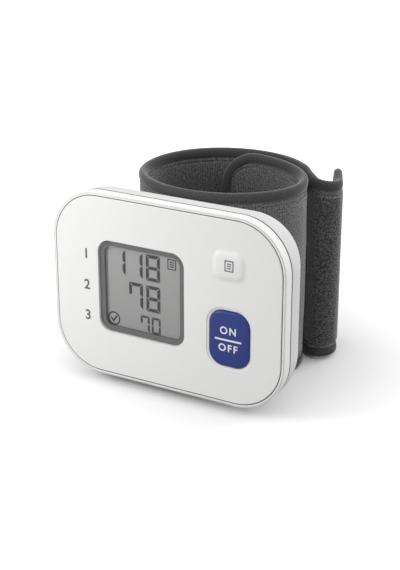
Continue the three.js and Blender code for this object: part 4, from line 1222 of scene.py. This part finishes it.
class Strap:
    """The strap's centre line seen from above, by its length from the inner end"""

    def __init__(self, cuff):
        self.cuff = cuff
        half = cuff.edge_thick / 2
        ring_radius = cuff.depth / 2 - half
        widening = (cuff.width / 2 - half) / ring_radius
        turns = np.linspace(cuff.strap_start, cuff.tail_start - 2 * math.pi, RING_POINTS)
        lap = eased((cuff.lap_end - turns) / (cuff.lap_end - cuff.ring_start))
        radius = ring_radius - cuff.lap_pitch * (1 - lap)
        x = cuff.middle_x + widening * radius * np.cos(turns)
        y = FACE_Y + cuff.behind + radius * np.sin(turns)
        facing = np.unwrap(np.arctan2(widening * np.sin(turns), np.cos(turns)))
        self.turns = turns
        self.x, self.y, self.facing = self.with_tail(x, y, facing)
        self.along = running(np.stack([self.x, self.y], axis=-1))
        self.ring_end = self.along[RING_POINTS - 1]
        self.fold_end = self.ring_end + cuff.tail_straight + cuff.tail_bend * cuff.tail_radius
        self.end = self.along[-1]

    def with_tail(self, x, y, facing):
        """The ring's line with the straight, the fold and the end of the tail added."""
        cuff = self.cuff
        heading = facing[-1] - math.pi / 2
        turned = heading + np.linspace(0, cuff.tail_bend, FOLD_POINTS)[1:]
        fold_x = cuff.tail_radius * (np.sin(turned) - math.sin(heading))
        fold_y = cuff.tail_radius * (math.cos(heading) - np.cos(turned))

        def straight(heading, span):
            steps = np.linspace(0, span, STRAIGHT_POINTS)[1:]
            headings = np.full(len(steps), heading)
            return steps * math.cos(heading), steps * math.sin(heading), headings

        parts = [(x, y, facing)]
        runs = (
            straight(heading, cuff.tail_straight),
            (fold_x, fold_y, turned),
            straight(turned[-1], cuff.tail_end),
        )
        for run_x, run_y, headings in runs:
            last_x, last_y, _ = parts[-1]
            parts.append((last_x[-1] + run_x, last_y[-1] + run_y, headings + math.pi / 2))
        return (np.concatenate(column) for column in zip(*parts))

    def length_at(self, degrees):
        """Length along the strap at an angle about the ring's middle, on its last turn."""
        turn = math.radians(degrees) - 2 * math.pi
        return float(np.interp(-turn, -self.turns, self.along[:RING_POINTS]))

    def nearest(self, point):
        """Length along the ring's last turn that comes nearest to a point."""
        away = np.hypot(self.x - point[0], self.y - point[1])[:RING_POINTS]
        away[self.turns > -math.pi / 2] = math.inf
        return float(self.along[int(np.argmin(away))])

    def place(self, along, z, out):
        """Points at lengths along the strap, heights, and distances outwards of its middle."""
        x, y, facing = (np.interp(along, self.along, v) for v in (self.x, self.y, self.facing))
        return np.stack([x + out * np.cos(facing), y + out * np.sin(facing), z], axis=-1)

    def edges(self, along, inset):
        """Bottom and top of the strap, drawn in by an inset from its bound edge."""
        cuff = self.cuff
        span = self.fold_end - self.ring_end
        narrowing = cuff.narrowing * eased((along - self.ring_end) / span)
        narrowing = narrowing - cuff.tip_rise * eased((along - self.fold_end) / (cuff.tail_end / 2))
        radius = cuff.end_radius - inset
        free = np.minimum(along, self.end - along) - inset
        short = np.clip(radius - free, 0, radius)
        drop = radius - np.sqrt(radius * radius - short * short)
        facing = np.interp(along, self.along, self.facing)
        on_ring = eased((self.ring_end - along) / (cuff.tail_straight / 2) + 1)
        rise = cuff.back_rise * np.clip(np.sin(facing), 0, 1) * on_ring
        top = CUFF_TOP + rise - inset - narrowing - drop
        bottom = CUFF_BOTTOM + inset + narrowing * cuff.lower_share + drop
        return bottom, top

    def stations(self, start, end, inset):
        """Lengths for the rings of a stretch, closer together at a free end."""
        start = max(start, inset)
        end = min(end, self.end - inset)
        count = max(2, math.ceil((end - start) / STRAP_STEP))
        even = np.linspace(start, end, count + 1)
        corner = self.cuff.end_radius * (1 - np.cos(np.linspace(0, math.pi / 2, END_STEPS)))
        extra = np.concatenate([inset + corner, self.end - inset - corner])
        extra = extra[(extra > start) & (extra < end)]
        merged = np.unique(np.concatenate([even, extra]))
        kept = merged[np.diff(merged, prepend=-1) > LEAST_STEP]
        kept[-1] = end
        return kept

    def grid(self, start, end, inset, share):
        """Rings of a stretch: lengths, bottoms, tops, and heights at shares between these."""
        along = self.stations(start, end, inset)
        bottom, top = (edge[:, None] for edge in self.edges(along, inset))
        z = bottom + (top - bottom) * share[None]
        return np.repeat(along[:, None], len(share), axis=1), bottom, top, z

    def sheet(self, name, lengths, z, low, high, finish):
        """A piece between two distances out of the strap's middle."""
        outer, inner = self.place(lengths, z, high), self.place(lengths, z, low)
        rings = np.concatenate([outer, inner[:, ::-1]], axis=1)
        both = [np.concatenate([v, v[:, ::-1]], axis=1) for v in (lengths, z)]
        return strap_mesh(name, [(rings, np.stack(both, axis=-1))], finish)


def strap_mesh(name, parts, finish):
    """A piece of lofts, each with its texture coordinates, which run along and across the strap."""
    lofts = (loft([list(map(tuple, ring)) for ring in rings.tolist()]) for rings, _ in parts)
    piece = new_piece(name, *joined(lofts), finish)
    spots = np.concatenate([coordinates.reshape(-1, 2) for _, coordinates in parts])
    index = np.empty(len(piece.data.loops), dtype=np.int32)
    piece.data.loops.foreach_get("vertex_index", index)
    layer = piece.data.uv_layers.new(name="strap")
    layer.data.foreach_set("uv", spots[index].astype(np.float32).ravel())
    piece.data.shade_smooth()
    piece.data.set_sharp_from_angle(angle=CREASE)
    return piece


def waviness(along, z, amount):
    """Gentle unevenness of soft cloth."""
    spots = np.stack(np.broadcast_arrays(along, z), axis=-1) * (1 / WAVE_LENGTH)
    values = [noise.noise(Vector((a, b, 0))) for a, b in spots.reshape(-1, 2)]
    return amount * np.array(values).reshape(spots.shape[:-1])


def cross_shares(cuff, tuck):
    """Places across the strap as shares of its height, close together beside the bound edges."""
    height = CUFF_TOP - CUFF_BOTTOM - 2 * tuck
    near = [0, tuck * TUCK_ROW, *(tuck + row for row in EDGE_ROWS)]
    near = sorted(set(near + [tuck + cuff.sewn_line + row for row in STITCH_ROWS]))
    middle = np.linspace(near[-1] + MIDDLE_STEP, height / 2, MIDDLE_ROWS)
    lower = np.concatenate([near, middle]) / height
    return np.concatenate([lower, 1 - lower[-2::-1]])


def fabric_stretch(strap, name, start, end, finish):
    """One padded stretch of the strap, pinched where its edge is sewn."""
    cuff = strap.cuff
    tuck = cuff.edge_width / 2
    share = cross_shares(cuff, tuck)
    lengths, bottom, top, z = strap.grid(start, end, tuck, share)
    free = np.minimum(lengths, strap.end - lengths) - tuck
    from_edge = np.minimum(np.minimum(top - z, z - bottom), free)
    rise = eased((from_edge - tuck) / EDGE_RISE)
    swell = cuff.bulge * np.sin(math.pi * share)[None] * rise
    sewn = (from_edge - tuck - cuff.sewn_line) / STITCH_WIDTH
    half = cuff.thick / 2 - cuff.pinch * (1 - rise) - cuff.sewn_depth * np.exp(-sewn * sewn)
    uneven = waviness(lengths, z, FABRIC_WAVES) * rise
    return strap.sheet(name, lengths, z, -half + uneven, half + swell + uneven, finish)


def edge_line(strap, start, end, side):
    """Places along one edge and the direction into the strap, with a rounded free end."""
    radius = strap.cuff.end_radius
    at_start, at_end = start <= 0, end >= strap.end
    first = radius if at_start else start
    last = strap.end - radius if at_end else end
    along = np.linspace(first, last, max(2, math.ceil((last - first) / STRAP_STEP)) + 1)
    bottom, top = strap.edges(along, 0.0)
    level = top if side > 0 else bottom
    rows = [np.stack([along, level, np.zeros_like(along), np.full_like(along, -side)], axis=-1)]
    turns = np.linspace(0, math.pi / 2, END_STEPS + 1)[1:]
    out, up = np.sin(turns), side * np.cos(turns)
    for free, where, outward in ((at_start, first, -1), (at_end, last, 1)):
        if not free:
            continue
        low, high = (float(edge[0]) for edge in strap.edges(np.array([where]), 0.0))
        middle = high - radius if side > 0 else low + radius
        places = [where + outward * radius * out, middle + radius * up, -outward * out, -up]
        corner = np.stack(places, axis=-1)
        rows = [corner[::-1], *rows] if outward < 0 else [*rows, corner]
    return np.concatenate(rows)


def upright(first, last):
    """Even places between the corners of a free end."""
    steps = np.linspace(0, 1, math.ceil(abs(first[1] - last[1]) / STRAP_STEP) + 1)[1:-1]
    rows = first[None] + (last - first)[None] * steps[:, None]
    rows[:, 2:] = first[2:]
    return rows


def whole_edge(strap, start, end):
    """Lines of the bound edge of a stretch: one round a free end, or an upper and a lower one."""
    upper, lower = (edge_line(strap, start, end, side) for side in (1, -1))
    if start <= 0:
        return [np.concatenate([upper[::-1], upright(upper[0], lower[0]), lower])]
    if end >= strap.end:
        return [np.concatenate([upper, upright(upper[-1], lower[-1]), lower[::-1]])]
    return [upper, lower]


def tape_profile(cuff):
    """The folded tape's section: distance in from its edge, and distance out of the strap."""
    half, width = cuff.edge_thick / 2, cuff.edge_width
    low = cuff.thick / 2 - cuff.pinch
    hem = [(width - mm(back), low + mm(rise)) for back, rise in TAPE_HEM]
    shoulder = [(width - mm(back), half - mm(drop)) for back, drop in TAPE_SHOULDER]
    turns = np.linspace(0, math.pi / 2, ROUND_STEPS)
    roll = [(half - half * math.sin(t), half * math.cos(t)) for t in turns]
    side = hem + shoulder + roll
    return np.array(side + [(inward, -out) for inward, out in reversed(side[:-1])])


def tape_stretch(strap, name, start, end, finish):
    """The folded tape round the edges of one stretch."""
    profile = tape_profile(strap.cuff)
    parts = []
    for line in whole_edge(strap, start, end):
        along, level, inward, down = (column[:, None] for column in line.T)
        lengths = along + profile[None, :, 0] * inward
        heights = level + profile[None, :, 0] * down
        out = profile[None, :, 1] * (1 + waviness(along, level, TAPE_WAVES))
        run = running(line[:, :2])[:, None] + start
        spots = np.broadcast_arrays(run, running(profile)[None])
        parts.append((strap.place(lengths, heights, out), np.stack(spots, axis=-1)))
    return strap_mesh(name, parts, finish)


class Stretch(NamedTuple):
    """Where a stretch of the strap runs, and its body, or its joint and how far it bends there"""

    name: str
    start: float
    end: float
    body: str = ""
    joint: str = ""
    before: float = 0
    after: float = 0


# Angles about the ring's middle where the stretches part, the tail's parting as a share of its
# straight, how far the strap bends beside a joint, and the stretch that stands for no node
PARTINGS = (270, 167, 91)
TAIL_PARTING = 0.55
HINGE, SOFT, SHORT = mm(1), mm(15), mm(8)
BRIDGE = "turn"


def stretches(strap):
    """The strap's stretches, from its inner end to its tip."""
    front, left, back = (strap.length_at(degrees) for degrees in PARTINGS)
    tail = strap.ring_end + strap.cuff.tail_straight * TAIL_PARTING
    return [
        Stretch("base", 0.0, front, body="monitor"),
        Stretch("left", front, left, joint="cuff_open", before=HINGE, after=SOFT),
        Stretch("back", left, back, joint="cuff_back_open", before=SOFT, after=SOFT),
        Stretch(BRIDGE, back, tail, joint="cuff_tail_open", before=SOFT, after=SHORT),
        Stretch("tail", tail, strap.end, body="cuff_tail"),
    ]


def hang(strap, piece, stretch, slot, *nodes):
    """Lets a piece ride on its stretch's body, or keep its place at its joint, and stand for its
    nodes.

    Braces in the name of a node stand for the name of the stretch.
    """
    if stretch.body:
        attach(piece, stretch.body)
    else:
        joint = next(joint for joint in frame["joints"] if joint["name"] == stretch.joint)
        point = Vector(joint["pos_m"])
        facing = np.interp(strap.nearest(point), strap.along, strap.facing)
        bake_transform(piece)
    if stretch.name != BRIDGE:
        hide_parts(*(node.format(stretch.name) for node in nodes))


class MONITOR_OT_cuff_fabric(bpy.types.Operator):
    """Make the padded fabric of the cuff, stretch by stretch"""

    bl_idname = "monitor.cuff_fabric"
    bl_label = "Cuff Fabric"

    def execute(self, context):
        strap = Strap(context.scene.monitor_cuff)
        finish = knitted("cuff_fabric", strap.cuff.knit)
        for stretch in stretches(strap):
            name, start, end, *_ = stretch
            piece = fabric_stretch(strap, f"cuff_fabric_{name}", start, end, finish)
            hang(strap, piece, stretch, "cuff_fabric", "cuff_sleeve_{}")
        return {"FINISHED"}


class MONITOR_OT_cuff_binding(bpy.types.Operator):
    """Make the folded tape round the cuff's edges"""

    bl_idname = "monitor.cuff_binding"
    bl_label = "Cuff Binding"

    def execute(self, context):
        strap = Strap(context.scene.monitor_cuff)
        finish = bound_tape("cuff_binding", strap.cuff.tape)
        nodes = ("cuff_binding_{}_top", "cuff_binding_{}_bottom")
        for stretch in stretches(strap):
            name, start, end, *_ = stretch
            piece = tape_stretch(strap, f"cuff_tape_{name}", start, end, finish)
            hang(strap, piece, stretch, "cuff_binding", *nodes)
        return {"FINISHED"}


class MONITOR_OT_cuff_curler(bpy.types.Operator):
    """Make the springy sheet inside the cuff"""

    bl_idname = "monitor.cuff_curler"
    bl_label = "Cuff Curler"

    # How many stretches have it, its margin, and its two faces, outwards of the strap's middle
    reach = 3
    inset = mm(5.15)
    low = mm(0.1)
    high = mm(0.55)
    pale = (0.58, 0.6, 0.63)

    def execute(self, context):
        strap = Strap(context.scene.monitor_cuff)
        finish = film("curler_sheet", self.pale, roughness=0.45, clearness=0.2)
        share = np.linspace(0, 1, SHEET_ROWS)
        for stretch in stretches(strap)[: self.reach]:
            name, start, end, *_ = stretch
            lengths, _, _, z = strap.grid(start, end, self.inset, share)
            piece = strap.sheet(f"cuff_spring_{name}", lengths, z, self.low, self.high, finish)
            hang(strap, piece, stretch, "curler_sheet", "cuff_curler_{}")
        return {"FINISHED"}


class MONITOR_OT_hook_tape(bpy.types.Operator):
    """Make the hook tape on the tail"""

    bl_idname = "monitor.hook_tape"
    bl_label = "Hook Tape"

    def execute(self, context):
        cuff = context.scene.monitor_cuff
        strap = Strap(cuff)
        start, share = strap.ring_end + cuff.hook_start, np.linspace(0, 1, SHEET_ROWS)
        lengths, bottom, top, z = strap.grid(start, strap.end, cuff.hook_margin, share)
        face = -cuff.thick / 2
        finish = hooked("hook_fabric", cuff.hook)
        piece = strap.sheet("hook_field", lengths, z, face - cuff.hook_thick, face + FIT, finish)
        settle(piece, "cuff_tail", "hook_fabric", "hook_tape")
        return {"FINISHED"}


# Inner pieces

SCREWS = "case_screw_1 case_screw_2 case_screw_3 case_screw_4"
SCREWS += " board_screw_1 board_screw_2 cuff_screw_1 cuff_screw_2"
CONTACTS = "battery_bridge battery_terminal_1 battery_terminal_2 start_switch memory_switch"

# Each finish with its maker, what that takes, and the nodes that it covers
INNER_FINISHES = {
    "natural_plastic": (
        moulded,
        (shade(216, 214, 204), 0.55),
        "lcd_holder battery_tray pump_head air_manifold cuff_elbow",
    ),
    "black_plastic": (
        moulded,
        (shade(30, 31, 33), 0.5),
        "start_plunger memory_plunger processor_chip pressure_sensor",
    ),
    "rubber_black": (
        moulded,
        (shade(44, 44, 46), 0.8),
        "zebra_connector pump_diaphragm valve_plunger",
    ),
    "board_green": (board_lacquer, (), "circuit_board"),
    "tube_clear": (film, (shade(217, 220, 214), 0.35, 0.4), "pump_tube cuff_tube"),
    "cell_wrap": (wrapped_cell, (), "battery_1 battery_2"),
    "bladder_film": (film, (shade(143, 146, 152), 0.55, 0.1), "air_bladder"),
    "steel": (
        metal,
        (shade(184, 186, 189), 0.32),
        f"{SCREWS} {CONTACTS} pump_motor pump_crank valve_body",
    ),
}


class MONITOR_OT_inner_finishes(bpy.types.Operator):
    """Finish the pieces inside the housing and the screws"""

    bl_idname = "monitor.inner_finishes"
    bl_label = "Inner Finishes"

    def execute(self, context):
        for name, (maker, values, nodes) in INNER_FINISHES.items():
            finish = maker(name, *values)
            for node in nodes.split():
                mesh = frame["nodes"][node].data
                mesh.materials.clear()
                mesh.materials.append(finish)
        return {"FINISHED"}


# Stage


def aimed(name, data, place, heading, **values):
    """A camera or a lamp with its values, at a place and pointing along a heading."""
    for key, value in values.items():
        setattr(data, key, value)
    made = placed(name, data)
    made.location = place
    made.rotation_euler = heading.to_track_quat("-Z", "Y").to_euler()
    return made


class MONITOR_OT_stage(bpy.types.Operator):
    """Set up the camera, the lights, the white surround and the floor"""

    bl_idname = "monitor.stage"
    bl_label = "Stage"

    # The camera's sensor in millimetres and its near limit in metres
    sensor = 36
    near = 0.01

    # Where the key light shines to, and the place and size of each lamp in metres
    key_heading = (-0.03, 0.12, -1)
    lamps = {
        "side": ((-0.13, -0.17, 0.11), 0.1),
        "rim": ((0.42, 0.58, 0.4), 0.5),
        "fill": ((0.5, 0.05, 0.06), 0.3),
    }
    floor_size = 6.0

    def execute(self, context):
        scene, stage = context.scene, context.scene.monitor_stage
        target = Vector((stage.target_x, FACE_Y, MIDDLE_Z + stage.target_z))
        scene.camera = self.camera(stage, target)
        self.lights(stage, target)
        scene.world = self.surround(stage)
        self.floor(stage)
        scene.view_settings.view_transform = "Standard"
        return {"FINISHED"}

    def camera(self, stage, target):
        """The photograph's point of view."""
        level = math.cos(stage.elevation)
        x, y = math.sin(stage.azimuth) * level, -math.cos(stage.azimuth) * level
        away = Vector((x, y, math.sin(stage.elevation)))
        place = target + away * stage.distance
        values = {"lens": stage.lens, "sensor_width": self.sensor, "clip_start": self.near}
        return aimed("camera", bpy.data.cameras.new("camera"), place, -away, **values)

    def lights(self, stage, target):
        """A wide, even light from above, and square soft lamps that face the object."""
        key, heading = bpy.data.lights.new("key", "SUN"), Vector(self.key_heading)
        aimed("key", key, -heading, heading, energy=stage.key, angle=stage.key_spread)
        for name, (place, size) in self.lamps.items():
            light, power = bpy.data.lights.new(name, "AREA"), getattr(stage, name)
            lamp = aimed(name, light, place, target - Vector(place), energy=power, size=size)
            lamp.visible_camera = False

    def shown(self, tree):
        """1 for rays that show the surround: to the camera, in gloss and through clear pieces."""
        rays = add_node(tree, "LightPath").outputs
        total = rays["Is Camera Ray"]
        for ray in ("Is Glossy Ray", "Is Transmission Ray"):
            sockets = {0: total, 1: rays[ray]}
            total = add_node(tree, "Math", sockets, operation="ADD", use_clamp=True).outputs[0]
        return total

    def surround(self, stage):
        """White to the camera, and a softer even light to the object."""
        world = bpy.data.worlds.new("surround")
        world.use_nodes = True
        tree = world.node_tree
        light = tree.nodes["Background"]
        wire(tree, light, {"Color": WHITE, "Strength": stage.ambient})
        seen = add_node(tree, "Background", {"Color": WHITE})
        mixed = {"Fac": self.shown(tree), 1: light.outputs[0], 2: seen.outputs[0]}
        mix = add_node(tree, "MixShader", mixed)
        wire(tree, tree.nodes["World Output"], {"Surface": mix.outputs[0]})
        return world

    def floor(self, stage):
        """A pale floor that keeps the object's shadow."""
        made = Finish("floor_white", 0.9, Specular_IOR_Level=0.1, Emission_Color=WHITE)
        shown = self.shown(made.tree)
        reach = add_node(made.tree, "VectorMath", {0: made.place}, operation="LENGTH")
        ends = {
            "Value": reach.outputs["Value"],
            "From Min": stage.lift_start,
            "From Max": stage.lift_end,
            "To Min": stage.floor_lift,
            "To Max": stage.far_lift,
        }
        fade = add_node(made.tree, "MapRange", ends, interpolation_type="SMOOTHSTEP")
        colours = {"Factor": shown, "A": (*stage.floor_bounce, 1), "B": (*stage.floor, 1)}
        seen = add_node(made.tree, "Mix", colours, data_type="RGBA")
        lift = made.combine("MULTIPLY", shown, fade.outputs["Result"])
        made.give(Emission_Strength=lift, Base_Color=seen.outputs["Result"])
        half = self.floor_size / 2
        corners = [(-half, -half, 0), (half, -half, 0), (half, half, 0), (-half, half, 0)]
        new_piece("floor", corners, [(0, 1, 2, 3)], made.material)


class MONITOR_PT_panel(bpy.types.Panel):
    """Lists the steps that build the monitor"""

    bl_idname = "MONITOR_PT_panel"
    bl_label = "Wrist Monitor"
    bl_space_type = "VIEW_3D"
    bl_region_type = "UI"
    bl_category = "Monitor"

    def draw(self, context):
        for step in STEPS:
            self.layout.operator(step.bl_idname)


SETTINGS = {
    "monitor_housing": HousingSettings,
    "monitor_display": DisplaySettings,
    "monitor_buttons": ButtonSettings,
    "monitor_cuff": CuffSettings,
    "monitor_stage": StageSettings,
}

STEPS = (
    MONITOR_OT_stage,
    MONITOR_OT_housing_finish,
    MONITOR_OT_front_case,
    MONITOR_OT_faceplate,
    MONITOR_OT_seals,
    MONITOR_OT_rear_case,
    MONITOR_OT_battery_cover,
    MONITOR_OT_legends,
    MONITOR_OT_display,
    MONITOR_OT_buttons,
    MONITOR_OT_cuff_fabric,
    MONITOR_OT_cuff_binding,
    MONITOR_OT_cuff_curler,
    MONITOR_OT_hook_tape,
    MONITOR_OT_inner_finishes,
)


def register():
    """Registers the classes and hangs the settings on the scene."""
    for made in (*SETTINGS.values(), *STEPS, MONITOR_PT_panel):
        bpy.utils.register_class(made)
    for name, group in SETTINGS.items():
        setattr(bpy.types.Scene, name, PointerProperty(type=group))


def unregister():
    """Takes the settings and the classes away again."""
    for name in SETTINGS:
        delattr(bpy.types.Scene, name)
    for made in (MONITOR_PT_panel, *reversed(STEPS), *reversed(SETTINGS.values())):
        bpy.utils.unregister_class(made)


def main():
    """Builds everything in order."""
    register()
    for step in STEPS:
        group, name = step.bl_idname.split(".")
        getattr(getattr(bpy.ops, group), name)()


if __name__ == "__main__":
    main()
